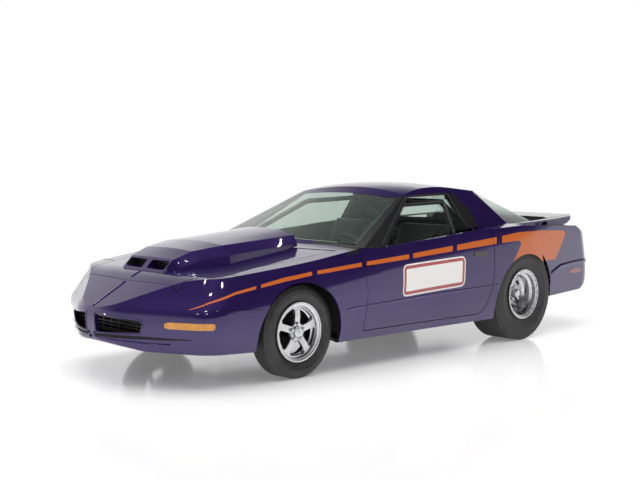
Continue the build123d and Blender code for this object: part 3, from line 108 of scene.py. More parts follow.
class Graph:
    """A shader node tree with short methods that add and link nodes."""

    def __init__(self, tree: Tree) -> None:
        """Keep the tree."""
        self.tree = tree

    def node(self, kind: str, **settings: object) -> bpy.types.Node:
        """Add a node and set its properties.

        Args:
            kind: the node's type without the ShaderNode prefix.
            settings: properties to set on it.

        Returns:
            The new node.
        """
        made = self.tree.nodes.new("ShaderNode" + kind)
        for name, value in settings.items():
            setattr(made, name, value)
        return made

    def fill(self, target: Socket, value: object) -> None:
        """Link an input to a socket, or set it to a plain value.

        Args:
            target: the input.
            value: a socket or a plain value.
        """
        if isinstance(value, Socket):
            self.tree.links.new(value, target)
        else:
            target.default_value = value

    def feed(self, node: bpy.types.Node, **values: object) -> bpy.types.Node:
        """Fill a node's inputs by name, with underscores for spaces.

        Args:
            node: the node whose inputs are filled.
            values: a socket to link, or a plain value, for each input.

        Returns:
            The same node.
        """
        for name, value in values.items():
            self.fill(node.inputs[name.replace("_", " ")], value)
        return node

    def math(self, operation: str, *terms: Term, clamp: bool = False) -> Socket:
        """Combine numbers with a Math node.

        Args:
            operation: the node's operation.
            terms: sockets or numbers, in order.
            clamp: whether the result is held between 0 and 1.

        Returns:
            The result's socket.
        """
        made = self.node("Math", operation=operation, use_clamp=clamp)
        for slot, term in zip(made.inputs, terms):
            self.fill(slot, term)
        return made.outputs[0]

    def plus(self, first: Term, second: Term) -> Socket:
        """Add two numbers."""
        return self.math("ADD", first, second)

    def minus(self, first: Term, second: Term) -> Socket:
        """Take the second number from the first."""
        return self.math("SUBTRACT", first, second)

    def times(self, first: Term, second: Term, clamp: bool = False) -> Socket:
        """Multiply two numbers."""
        return self.math("MULTIPLY", first, second, clamp=clamp)

    def line(self, value: Term, factor: Term, added: Term, clamp: bool = False) -> Socket:
        """Multiply a number by a factor and add another."""
        return self.math("MULTIPLY_ADD", value, factor, added, clamp=clamp)

    def less(self, first: Term, second: Term) -> Socket:
        """Return 1 where the first number is the smaller, or else 0."""
        return self.math("LESS_THAN", first, second)

    def more(self, first: Term, second: Term) -> Socket:
        """Return 1 where the first number is the larger, or else 0."""
        return self.math("GREATER_THAN", first, second)

    def off(self, value: Term, middle: Term) -> Socket:
        """Return how far a number lies from a middle, on either side."""
        return self.math("ABSOLUTE", self.minus(value, middle))

    def rest(self, mask: Term) -> Socket:
        """Return what a mask leaves."""
        return self.minus(1.0, mask)

    def reach(self, across: Term, up: Term) -> Socket:
        """Return the length of a line from its two components."""
        return self.math("SQRT", self.plus(self.times(across, across), self.times(up, up)))

    def ramp(self, factor: Socket, stops: Sequence[tuple[float, Colour]]) -> Socket:
        """Read a colour from a row of stops, with straight runs between them.

        Args:
            factor: the value that picks the colour, from 0 to 1.
            stops: place and colour of each stop.

        Returns:
            The colour's socket.
        """
        made = self.node("ValToRGB")
        band = made.color_ramp
        band.interpolation = "LINEAR"
        while len(band.elements) < len(stops):
            band.elements.new(0.5)
        for element, (place, colour) in zip(band.elements, stops):
            element.position = place
            element.color = colour
        self.fill(made.inputs["Fac"], factor)
        return made.outputs["Color"]

    def mix(self, factor: Term, low: Socket | Colour, high: Socket | Colour) -> Socket:
        """Mix two colours.

        Args:
            factor: share of the second colour.
            low: the first colour.
            high: the second colour.

        Returns:
            The mixed colour's socket.
        """
        made = self.node("Mix", data_type="RGBA")
        for slot, value in ((0, factor), (6, low), (7, high)):
            self.fill(made.inputs[slot], value)
        return made.outputs[2]

    def place(self) -> Socket:
        """Return the point in the frame of the model, which rides with the piece."""
        return self.node("TexCoord").outputs["Object"]

    def parts(self, source: Socket) -> tuple[Socket, Socket, Socket]:
        """Split a point or a direction.

        Args:
            source: its socket.

        Returns:
            Its X, Y and Z.
        """
        made = self.node("SeparateXYZ")
        self.fill(made.inputs[0], source)
        return made.outputs[0], made.outputs[1], made.outputs[2]

    def axes(self) -> tuple[Socket, Socket, Socket]:
        """Return the point's three coordinates."""
        return self.parts(self.place())

    def normals(self) -> tuple[Socket, Socket, Socket]:
        """Return the three components of the surface normal in the frame of the model."""
        return self.parts(self.node("TexCoord").outputs["Normal"])

    def noise(self, scale: Term, detail: float = 2.0, rough: float = 0.5) -> Socket:
        """Add a noise.

        Args:
            scale: features per metre.
            detail: number of finer layers.
            rough: share that each finer layer keeps.

        Returns:
            The noise value, from 0 to 1.
        """
        made = self.node("TexNoise")
        self.feed(made, Vector=self.place(), Scale=scale, Detail=detail, Roughness=rough)
        return made.outputs["Fac"]

    def fade(self, value: Socket, start: Term, end: Term) -> Socket:
        """Rise smoothly from 0 to 1 between two values.

        Args:
            value: the number that is judged.
            start: where the rise starts.
            end: where it ends.

        Returns:
            The risen value.
        """
        made = self.node("MapRange", interpolation_type="SMOOTHSTEP")
        self.feed(made, Value=value, From_Min=start, From_Max=end)
        return made.outputs["Result"]


def new_group(
    name: str, inputs: dict[str, float], outputs: Sequence[str],
) -> tuple[Graph, bpy.types.NodeOutputs, bpy.types.NodeInputs]:
    """Start a shader node group whose inputs and outputs are numbers.

    Args:
        name: the group's name.
        inputs: name and default of each input.
        outputs: name of each output.

    Returns:
        The group's graph, the sockets that bring its inputs and the ones that take its outputs.
    """
    tree = bpy.data.node_groups.new(name, "ShaderNodeTree")
    for label, value in inputs.items():
        socket = tree.interface.new_socket(name=label, in_out="INPUT", socket_type=FLOAT)
        socket.default_value = value
    for label in outputs:
        tree.interface.new_socket(name=label, in_out="OUTPUT", socket_type=FLOAT)
    source = tree.nodes.new("NodeGroupInput")
    sink = tree.nodes.new("NodeGroupOutput")
    return Graph(tree), source.outputs, sink.inputs


@dataclass(frozen=True)
class StripePlan:
    """Side stripe in side view, with the wider panel that it runs into ahead of the tail."""

    # x, lower edge and upper edge, from nose to tail
    edges: tuple[Place, ...] = (
        (2.162, 0.531, 0.534), (2.060, 0.575, 0.585), (1.893, 0.6235, 0.640), (1.728, 0.6505, 0.669),
        (1.497, 0.6865, 0.7135), (1.253, 0.7155, 0.740), (0.752, 0.745, 0.773), (0.226, 0.770, 0.8035),
        (-0.286, 0.801, 0.843), (-0.828, 0.834, 0.8875), (-1.116, 0.848, 0.914), (-1.139, 0.830, 0.916),
        (-1.500, 0.700, 0.915), (-1.900, 0.700, 0.896), (-1.930, 0.700, 0.872), (-1.960, 0.700, 0.700),
    )
    # x and half width of each break
    breaks: tuple[Point, ...] = (
        (1.710, 0.018), (1.228, 0.024), (0.7265, 0.026), (0.203, 0.023), (-0.313, 0.026), (-0.864, 0.035),
    )
    break_slant: float = 0.29
    break_reach: float = 0.02
    panel_front: Point = (-1.139, 0.820)
    panel_rake: float = 0.84
    panel_low: float = 0.655
    tail_slant: float = 1.0
    tail: Point = (-1.930, 0.874)
    span: float = 4.95
    side_y: float = 0.60


@dataclass(frozen=True)
class SignPlan:
    """Plain door sign: a rounded panel with a pale rim and a red band round a pale middle."""

    centre: Point = (-0.038, 0.6245)
    half: Point = (0.366, 0.119)
    corner: float = 0.046
    rise: float = 0.042
    lean: float = 0.078
    rim: float = 0.011
    band: float = 0.036


@dataclass(frozen=True)
class SurroundPlan:
    """Black surround of the side window in side view, as the ends of the edges that bound it."""

    edges: tuple[tuple[Point, Point], ...] = (
        ((1.000, 0.780), (0.115, 1.222)), ((0.115, 1.222), (-0.163, 1.232)),
        ((-0.163, 1.232), (-0.368, 1.248)), ((-0.368, 1.248), (-0.731, 1.236)),
        ((-0.731, 1.236), (-0.810, 1.113)), ((-0.810, 1.113), (-0.838, 0.900)),
        ((-0.790, 0.972), (0.80, 0.835)),
    )
    side_y: float = 0.40


class Effects:
    """Shader node groups that more than one material uses, each built once."""

    def __init__(self) -> None:
        """Build every group."""
        self.wear = self._wear()
        self.grain = self._grain()
        self.peel = self._peel()
        self.flakes = self._flakes()
        self.turned = self._turned()
        self.tread = self._tread()
        self.inner = self._inner()
        self.flutes = self._flutes()
        self.outward = self._outward()
        self.rounded = self._rounded()
        self.stripe = self._stripe(StripePlan())
        self.surround = self._surround(SurroundPlan())
        self.away = self._away()

    @staticmethod
    def _wear(fine_scale: float = 90.0, fine_share: float = 0.35, onset: float = 0.55,
              gain: float = 2.2) -> Tree:
        """Blotches of dust and dulled surface.

        Args:
            fine_scale: features per metre of the finer noise.
            fine_share: its share beside the broad noise.
            onset: sum of the noises at which the wear starts.
            gain: how fast it grows above that.

        Returns:
            The group's tree.
        """
        graph, source, sink = new_group("Surface wear", {"Scale": 6.0, "Amount": 0.5}, ["Mask"])
        broad = graph.noise(source["Scale"], 4.0, 0.6)
        fine = graph.noise(fine_scale, 3.0, 0.6)
        raised = graph.minus(graph.line(fine, fine_share, broad), onset)
        graph.fill(sink["Mask"], graph.times(graph.times(raised, gain, clamp=True), source["Amount"]))
        return graph.tree

    @staticmethod
    def _grain(cell_share: float = 0.6) -> Tree:
        """Moulded grain, as height.

        Args:
            cell_share: share of the cells beside the noise.

        Returns:
            The group's tree.
        """
        graph, source, sink = new_group("Moulded grain", {"Scale": 900.0}, ["Height"])
        cells = graph.node("TexVoronoi", feature="F1")
        graph.feed(cells, Vector=graph.place(), Scale=source["Scale"])
        cloud = graph.noise(source["Scale"], 3.0)
        graph.fill(sink["Height"], graph.line(cells.outputs["Distance"], cell_share, cloud))
        return graph.tree

    @staticmethod
    def _peel() -> Tree:
        """Slight waviness of sprayed and polished skins, as height.

        Returns:
            The group's tree.
        """
        graph, source, sink = new_group("Sprayed skin", {"Scale": 160.0}, ["Height"])
        graph.fill(sink["Height"], graph.noise(source["Scale"], 1.0))
        return graph.tree

    @staticmethod
    def _flakes(gain: float = 1.1) -> Tree:
        """Metal flakes in paint, as a mask.

        Args:
            gain: how fast the mask grows away from a flake's middle.

        Returns:
            The group's tree.
        """
        graph, source, sink = new_group("Metal flakes", {"Scale": 900.0}, ["Mask"])
        cells = graph.node("TexVoronoi", feature="F1")
        graph.feed(cells, Vector=graph.place(), Scale=source["Scale"])
        graph.fill(sink["Mask"], graph.times(cells.outputs["Distance"], gain, clamp=True))
        return graph.tree

    @staticmethod
    def _turned(jitter_scale: float = 60.0, jitter: float = 0.6) -> Tree:
        """Fine rings left by a lathe about a wheel's axis, as height.

        Args:
            jitter_scale: features per metre of the noise that breaks the rings up.
            jitter: its share beside the rings.

        Returns:
            The group's tree.
        """
        graph, source, sink = new_group("Turned rings", {"Centre X": 0.0, "Centre Z": 0.0, "Rings": 700.0},
                                        ["Height"])
        x, _, z = graph.axes()
        radius = graph.reach(graph.minus(x, source["Centre X"]), graph.minus(z, source["Centre Z"]))
        wave = graph.math("SINE", graph.times(radius, source["Rings"]))
        graph.fill(sink["Height"], graph.line(graph.noise(jitter_scale, 2.0), jitter, wave))
        return graph.tree

    @staticmethod
    def _tread() -> Tree:
        """Mask of what lies beyond a radius about a wheel's axis.

        Returns:
            The group's tree.
        """
        graph, source, sink = new_group("Tyre tread", {"Centre X": 0.0, "Centre Z": 0.0, "Radius": 0.3},
                                        ["Mask"])
        x, _, z = graph.axes()
        radius = graph.reach(graph.minus(x, source["Centre X"]), graph.minus(z, source["Centre Z"]))
        graph.fill(sink["Mask"], graph.more(radius, source["Radius"]))
        return graph.tree

    @staticmethod
    def _inner() -> Tree:
        """Mask of what lies nearer to the middle of the car than a distance across it.

        Returns:
            The group's tree.
        """
        graph, source, sink = new_group("Inner part", {"Reach": 0.75}, ["Mask"])
        _, y, _ = graph.axes()
        graph.fill(sink["Mask"], graph.less(graph.math("ABSOLUTE", y), source["Reach"]))
        return graph.tree

    @staticmethod
    def _flutes(cloud_scale: float = 26.0, wave_share: float = 0.10, cloud_share: float = 0.9,
                shift: float = -0.15) -> Tree:
        """Flutes of a lamp lens, as height and as the depth of its colour.

        Args:
            cloud_scale: features per metre of the noise in the colour.
            wave_share: share of the flutes in the colour.
            cloud_share: share of the noise in the colour.
            shift: added to the colour's depth.

        Returns:
            The group's tree.
        """
        graph, source, sink = new_group("Lens flutes", {"Rate": 900.0, "Upright": 0.0}, ["Height", "Depth"])
        x, _, z = graph.axes()
        across = graph.line(graph.minus(z, x), source["Upright"], x)
        wave = graph.math("SINE", graph.times(across, source["Rate"]))
        cloud = graph.line(graph.noise(cloud_scale, 2.0), cloud_share, shift)
        graph.fill(sink["Height"], wave)
        graph.fill(sink["Depth"], graph.line(wave, wave_share, cloud, clamp=True))
        return graph.tree

    @staticmethod
    def _outward() -> Tree:
        """Mask of the faces that look away from a line through the middle of the car.

        Returns:
            The group's tree.
        """
        graph, source, sink = new_group("Outer faces", {"Core Half Length": 1.7, "Core Height": 0.55},
                                        ["Mask"])
        x, y, z = graph.axes()
        across, aside, up = graph.normals()
        half = source["Core Half Length"]
        held = graph.math("MINIMUM", graph.math("MAXIMUM", x, graph.times(half, -1.0)), half)
        total = graph.times(graph.minus(x, held), across)
        total = graph.line(y, aside, total)
        total = graph.line(graph.minus(z, source["Core Height"]), up, total)
        graph.fill(sink["Mask"], graph.more(total, 0.0))
        return graph.tree

    @staticmethod
    def _rounded() -> Tree:
        """Signed distance to a rounded panel in side view, below zero inside.

        Returns:
            The group's tree.
        """
        labels = ("Centre X", "Centre Z", "Half X", "Half Z", "Corner", "Rise", "Lean")
        graph, source, sink = new_group("Rounded panel", dict.fromkeys(labels, 0.0), ["Distance"])
        x, _, z = graph.axes()
        off_x = graph.minus(x, source["Centre X"])
        off_z = graph.minus(z, source["Centre Z"])
        across = graph.math("ABSOLUTE", graph.line(off_z, source["Lean"], off_x))
        up = graph.math("ABSOLUTE", graph.line(off_x, source["Rise"], off_z))
        wide = graph.minus(across, graph.minus(source["Half X"], source["Corner"]))
        tall = graph.minus(up, graph.minus(source["Half Z"], source["Corner"]))
        outer = graph.reach(graph.math("MAXIMUM", wide, 0.0), graph.math("MAXIMUM", tall, 0.0))
        inner = graph.math("MINIMUM", graph.math("MAXIMUM", wide, tall), 0.0)
        graph.fill(sink["Distance"], graph.minus(graph.plus(outer, inner), source["Corner"]))
        return graph.tree

    @staticmethod
    def _stripe(plan: StripePlan) -> Tree:
        """Mask of the side stripe.

        Args:
            plan: the stripe's places.

        Returns:
            The group's tree.
        """
        graph, source, sink = new_group("Side stripe", {"Side Y": plan.side_y, "Panel Low": plan.panel_low},
                                        ["Mask"])
        x, y, z = graph.axes()
        stops = [(0.5 + place / plan.span, (low, high, 0.0, 1.0))
                 for place, low, high in reversed(plan.edges)]
        edges = graph.node("SeparateColor")
        graph.fill(edges.inputs[0], graph.ramp(graph.line(x, 1.0 / plan.span, 0.5), stops))
        front_x, front_z = plan.panel_front
        below = graph.math("MAXIMUM", graph.minus(front_z, z), 0.0)
        panel = graph.less(x, graph.line(below, plan.panel_rake, front_x))
        mask = graph.math("MAXIMUM", graph.more(z, edges.outputs[0]), panel)
        mask = graph.times(mask, graph.less(z, edges.outputs[1]))
        mask = graph.times(mask, graph.more(z, graph.times(graph.less(x, 0.0), source["Panel Low"])))
        mask = graph.times(mask, graph.more(graph.math("ABSOLUTE", y), source["Side Y"]))
        mask = graph.times(mask, graph.less(x, plan.edges[0][0]))
        tail_x, tail_z = plan.tail
        mask = graph.times(mask, graph.more(x, graph.line(graph.minus(tail_z, z), plan.tail_slant, tail_x)))
        slanted = graph.line(z, plan.break_slant, x)
        for place, half in plan.breaks:
            level = next((low + high) / 2 for edge, low, high in plan.edges
                         if edge <= place + plan.break_reach)
            offset = graph.off(slanted, place + plan.break_slant * level)
            mask = graph.times(mask, graph.more(offset, half))
        graph.fill(sink["Mask"], mask)
        return graph.tree

    @staticmethod
    def _surround(plan: SurroundPlan) -> Tree:
        """Mask of the black surround of the side window.

        Args:
            plan: the surround's edges.

        Returns:
            The group's tree.
        """
        graph, source, sink = new_group("Window surround", {"Side Y": plan.side_y}, ["Mask"])
        x, y, z = graph.axes()
        mask = graph.more(graph.math("ABSOLUTE", y), source["Side Y"])
        for (x0, z0), (x1, z1) in plan.edges:
            side = graph.line(z, x1 - x0, -(x1 - x0) * z0)
            side = graph.line(graph.minus(x, x0), -(z1 - z0), side)
            mask = graph.times(mask, graph.more(side, 0.0))
        graph.fill(sink["Mask"], mask)
        return graph.tree

    @staticmethod
    def _away() -> Tree:
        """Rise from 0 to 1 between two ovals on a level plate.

        Returns:
            The group's tree.
        """
        inputs = {"Half X": 1.0, "Half Y": 1.0, "Start": 0.0, "End": 1.0}
        graph, source, sink = new_group("Far from the middle", inputs, ["Mask"])
        x, y, _ = graph.axes()
        wide = graph.math("DIVIDE", x, source["Half X"])
        deep = graph.math("DIVIDE", y, source["Half Y"])
        graph.fill(sink["Mask"], graph.fade(graph.reach(wide, deep), source["Start"], source["End"]))
        return graph.tree


def new_material(name: str) -> tuple[bpy.types.Material, Graph, bpy.types.Node]:
    """Start a node material.

    Args:
        name: the material's name.

    Returns:
        The material, its graph and its Principled node.
    """
    made = bpy.data.materials.new(name)
    made.use_nodes = True
    return made, Graph(made.node_tree), made.node_tree.nodes["Principled BSDF"]


def use_group(graph: Graph, tree: Tree, **values: object) -> bpy.types.Node:
    """Place a group in a graph with its own values.

    Args:
        graph: the graph that gets the group.
        tree: the group.
        values: its input values.

    Returns:
        The group node.
    """
    made = graph.node("Group")
    made.node_tree = tree
    return graph.feed(made, **values)


def bump(graph: Graph, shader: bpy.types.Node, height: Socket, distance: float, strength: float) -> None:
    """Feed a height to a shader's normal.

    Args:
        graph: the material's graph.
        shader: the Principled node.
        height: the height's socket.
        distance: the height of one unit in metres.
        strength: strength of the effect.
    """
    made = graph.node("Bump")
    graph.feed(made, Height=height, Distance=distance, Strength=strength)
    graph.feed(shader, Normal=made.outputs["Normal"])


class Finish(Protocol):
    """What every finish has: a name, and a way to make its material."""

    name: str

    def build(self, effects: Effects) -> bpy.types.Material:
        """Make the material with the shared groups."""


@dataclass(frozen=True)
class PaintFinish:
    """Violet metallic paint under clear lacquer, with or without the side graphics."""

    name: str
    violet: Colour = (0.036, 0.008, 0.150, 1.0)
    deep: Colour = (0.013, 0.003, 0.058, 1.0)
    # near-black of the panels' inner faces: primer, darkened further as painted shade of the cabin and under
    # the panels
    inside_primer_and_shade: Colour = (0.010, 0.010, 0.012, 1.0)
    orange: Colour = (0.52, 0.105, 0.006, 1.0)
    white: Colour = (0.78, 0.76, 0.74, 1.0)
    red: Colour = (0.34, 0.035, 0.040, 1.0)
    black: Colour = (0.010, 0.010, 0.011, 1.0)
    stripes: bool = False
    stripe_dulling: float = 0.55
    sign: SignPlan | None = None
    window_frame: bool = False
    handle_centre: Point = (-0.607, 0.764)
    handle_half: Point = (0.0895, 0.020)
    flake_scale: float = 900.0
    metal: float = 0.62
    metal_loss: float = 0.1
    roughness: float = 0.36
    wear: float = 0.10
    wear_scale: float = 3.0
    coat_roughness: float = 0.035
    coat_bend: float = 1.5
    peel_scale: float = 140.0
    peel_depth: float = 0.00012
    peel_strength: float = 0.35

    def build(self, effects: Effects) -> bpy.types.Material:
        """Make the material.

        Args:
            effects: the shared groups.

        Returns:
            The paint.
        """
        made, graph, shader = new_material(self.name)
        flakes = use_group(graph, effects.flakes, Scale=self.flake_scale).outputs["Mask"]
        colour = graph.mix(flakes, self.violet, self.deep)
        metal = graph.line(flakes, -self.metal_loss, self.metal)
        outward = use_group(graph, effects.outward).outputs["Mask"]
        coat = outward
        if self.stripes:
            stripe = use_group(graph, effects.stripe).outputs["Mask"]
            colour, metal = self._cover(graph, stripe, colour, metal, self.orange)
            coat = graph.times(outward, graph.line(stripe, -self.stripe_dulling, 1.0))
        if self.sign:
            colour, metal = self._sign(graph, effects, colour, metal)
            # the door handle's recess is painted black: painted shade
            colour, metal = self._cover(graph, self._handle_recess_shade(graph), colour, metal, self.black)
        if self.window_frame:
            surround = use_group(graph, effects.surround).outputs["Mask"]
            colour, metal = self._cover(graph, surround, colour, metal, self.black)
        # inner faces take the near-black: primer colour with painted shade
        colour = graph.mix(outward, self.inside_primer_and_shade, colour)
        metal = graph.times(metal, outward)
        wear = use_group(graph, effects.wear, Scale=self.wear_scale, Amount=self.wear)
        rough = graph.plus(wear.outputs["Mask"], self.roughness)
        graph.feed(shader, Base_Color=colour, Metallic=metal, Roughness=rough, Coat_Weight=coat,
                   Coat_Roughness=self.coat_roughness, Coat_IOR=self.coat_bend)
        peel = use_group(graph, effects.peel, Scale=self.peel_scale)
        bump(graph, shader, peel.outputs["Height"], self.peel_depth, self.peel_strength)
        return made

    @staticmethod
    def _cover(graph: Graph, mask: Socket, colour: Socket, metal: Socket,
               plain: Colour) -> tuple[Socket, Socket]:
        """Return the colour and metal of the paint with a plain colour laid over the masked part."""
        return graph.mix(mask, colour, plain), graph.times(metal, graph.rest(mask))

    def _sign(self, graph: Graph, effects: Effects, colour: Socket, metal: Socket) -> tuple[Socket, Socket]:
        """Lay the bare door sign over the paint.

        Args:
            graph: the material's graph.
            effects: the shared groups.
            colour: the colour below it.
            metal: the metal below it.

        Returns:
            The new colour and metal.
        """
        plan = self.sign
        panel = use_group(graph, effects.rounded, Centre_X=plan.centre[0], Centre_Z=plan.centre[1],
                          Half_X=plan.half[0], Half_Z=plan.half[1], Corner=plan.corner, Rise=plan.rise,
                          Lean=plan.lean)
        distance = panel.outputs["Distance"]
        colour, metal = self._cover(graph, graph.less(distance, 0.0), colour, metal, self.white)
        colour = graph.mix(graph.less(distance, -plan.rim), colour, self.red)
        return graph.mix(graph.less(distance, -plan.band), colour, self.white), metal

    def _handle_recess_shade(self, graph: Graph) -> Socket:
        """Mask of the door handle's recess in side view, painted black as its shade.

        Args:
            graph: the material's graph.

        Returns:
            The mask's socket.
        """
        x, _, z = graph.axes()
        across = graph.less(graph.off(x, self.handle_centre[0]), self.handle_half[0])
        return graph.times(across, graph.less(graph.off(z, self.handle_centre[1]), self.handle_half[1]))


@dataclass(frozen=True)
class PlasticFinish:
    """Moulded plastic, rubber or satin paint with a fine grain."""

    name: str
    colour: Colour
    roughness: float = 0.5
    grain: float = 900.0
    depth: float = 0.00006
    grain_strength: float = 0.6
    wear: float = 0.25
    wear_scale: float = 7.0
    wear_dulling: float = 0.25
    dust_gain: float = 1.7
    dust_lift: float = 0.012

    def build(self, effects: Effects) -> bpy.types.Material:
        """Make the material.

        Args:
            effects: the shared groups.

        Returns:
            The plastic.
        """
        made, graph, shader = new_material(self.name)
        wear = use_group(graph, effects.wear, Scale=self.wear_scale, Amount=self.wear).outputs["Mask"]
        pale = tuple(channel * self.dust_gain + self.dust_lift for channel in self.colour[:3]) + (1.0,)
        graph.feed(shader, Base_Color=graph.mix(wear, self.colour, pale),
                   Roughness=graph.line(wear, self.wear_dulling, self.roughness))
        grain = use_group(graph, effects.grain, Scale=self.grain)
        bump(graph, shader, grain.outputs["Height"], self.depth, self.grain_strength)
        return made


@dataclass(frozen=True)
class LensFinish:
    """Moulded lamp lens with flutes, with a painted surround outside a rounded panel if one is given."""

    name: str
    colour: Colour
    deep: Colour
    surround: Colour = (0.010, 0.003, 0.034, 1.0)
    centre: Point = (0.0, 0.0)
    half: Point = (0.0, 0.0)
    corner: float = 0.0
    flutes: float = 900.0
    upright: bool = False
    roughness: float = 0.16
    coat_roughness: float = 0.04
    depth: float = 0.0006
    flute_strength: float = 0.6
    wear: float = 0.1
    wear_scale: float = 9.0

    def build(self, effects: Effects) -> bpy.types.Material:
        """Make the material.

        Args:
            effects: the shared groups.

        Returns:
            The lens.
        """
        made, graph, shader = new_material(self.name)
        flutes = use_group(graph, effects.flutes, Rate=self.flutes, Upright=float(self.upright))
        colour = graph.mix(flutes.outputs["Depth"], self.colour, self.deep)
        height = flutes.outputs["Height"]
        if self.half[0] > 0.0:
            shape = use_group(graph, effects.rounded, Centre_X=self.centre[0], Centre_Z=self.centre[1],
                              Half_X=self.half[0], Half_Z=self.half[1], Corner=self.corner)
            lens = graph.less(shape.outputs["Distance"], 0.0)
            colour = graph.mix(lens, self.surround, colour)
            height = graph.times(height, lens)
        wear = use_group(graph, effects.wear, Scale=self.wear_scale, Amount=self.wear)
        graph.feed(shader, Base_Color=colour, Roughness=graph.plus(wear.outputs["Mask"], self.roughness),
                   Coat_Weight=1.0, Coat_Roughness=self.coat_roughness)
        bump(graph, shader, height, self.depth, self.flute_strength)
        return made


@dataclass(frozen=True)
class MetalFinish:
    """Bare metal, cast, brushed or polished, with a dull inner part where one is given."""

    name: str
    colour: Colour
    roughness: float = 0.2
    wear: float = 0.3
    depth: float = 0.00003
    axle: Point | None = None
    dull_inside: float = 0.0
    # colour that the inner part takes: near black, much darker than the face
    masked_colour: Colour = (0.030, 0.029, 0.028, 1.0)
    dull_share: float = 0.72
    wear_scale: float = 14.0
    wear_dulling: float = 0.2
    inside_dulling: float = 0.35
    rings: float = 2400.0
    ring_strength: float = 0.25
    grain: float = 500.0
    grain_strength: float = 0.5

    def build(self, effects: Effects) -> bpy.types.Material:
        """Make the material.

        Args:
            effects: the shared groups.

        Returns:
            The metal.
        """
        made, graph, shader = new_material(self.name)
        wear = use_group(graph, effects.wear, Scale=self.wear_scale, Amount=self.wear).outputs["Mask"]
        dull = tuple(channel * self.dull_share for channel in self.colour[:3]) + (1.0,)
        colour = graph.mix(wear, self.colour, dull)
        rough = graph.line(wear, self.wear_dulling, self.roughness)
        if self.dull_inside > 0.0:
            inner = use_group(graph, effects.inner, Reach=self.dull_inside).outputs["Mask"]
            # the inner part takes the near-black colour and more roughness
            colour = graph.mix(inner, colour, self.masked_colour)
            rough = graph.line(inner, self.inside_dulling, rough)
        graph.feed(shader, Base_Color=colour, Metallic=1.0, Roughness=rough)
        if self.axle:
            rings = use_group(graph, effects.turned, Centre_X=self.axle[0], Centre_Z=self.axle[1],
                              Rings=self.rings)
            bump(graph, shader, rings.outputs["Height"], self.depth, self.ring_strength)
        else:
            grain = use_group(graph, effects.grain, Scale=self.grain)
            bump(graph, shader, grain.outputs["Height"], self.depth, self.grain_strength)
        return made


@dataclass(frozen=True)
class GlassFinish:
    """Clear or coloured transparent sheet."""

    name: str
    colour: Colour
    bend: float = 1.45
    wear: float = 0.012
    wear_scale: float = 5.0

    def build(self, effects: Effects) -> bpy.types.Material:
        """Make the material.

        Args:
            effects: the shared groups.

        Returns:
            The glass.
        """
        made, graph, shader = new_material(self.name)
        wear = use_group(graph, effects.wear, Scale=self.wear_scale, Amount=self.wear)
        graph.feed(shader, Base_Color=self.colour, IOR=self.bend, Transmission_Weight=1.0,
                   Roughness=wear.outputs["Mask"])
        return made


@dataclass(frozen=True)
class TyreFinish:
    """Black rubber with a dusty tread and a smooth sidewall."""

    name: str
    axle: Point
    radius: float
    rubber: Colour = (0.022, 0.022, 0.023, 1.0)
    # colour of the dusty tread and worn spots
    masked_colour: Colour = (0.075, 0.072, 0.068, 1.0)
    tread_depth: float = 0.006
    tread_dust: float = 0.35
    roughness: float = 0.52
    dust_dulling: float = 0.25
    wear: float = 0.6
    wear_scale: float = 11.0
    rings: float = 420.0
    ring_depth: float = 0.0003
    ring_strength: float = 0.25

    def build(self, effects: Effects) -> bpy.types.Material:
        """Make the material.

        Args:
            effects: the shared groups.

        Returns:
            The rubber.
        """
        made, graph, shader = new_material(self.name)
        tread = use_group(graph, effects.tread, Centre_X=self.axle[0], Centre_Z=self.axle[1],
                          Radius=self.radius - self.tread_depth)
        wear = use_group(graph, effects.wear, Scale=self.wear_scale, Amount=self.wear)
        dusty = graph.line(tread.outputs["Mask"], self.tread_dust, wear.outputs["Mask"], clamp=True)
        graph.feed(shader, Base_Color=graph.mix(dusty, self.rubber, self.masked_colour),
                   Roughness=graph.line(dusty, self.dust_dulling, self.roughness))
        rings = use_group(graph, effects.turned, Centre_X=self.axle[0], Centre_Z=self.axle[1],
                          Rings=self.rings)
        bump(graph, shader, rings.outputs["Height"], self.ring_depth, self.ring_strength)
        return made


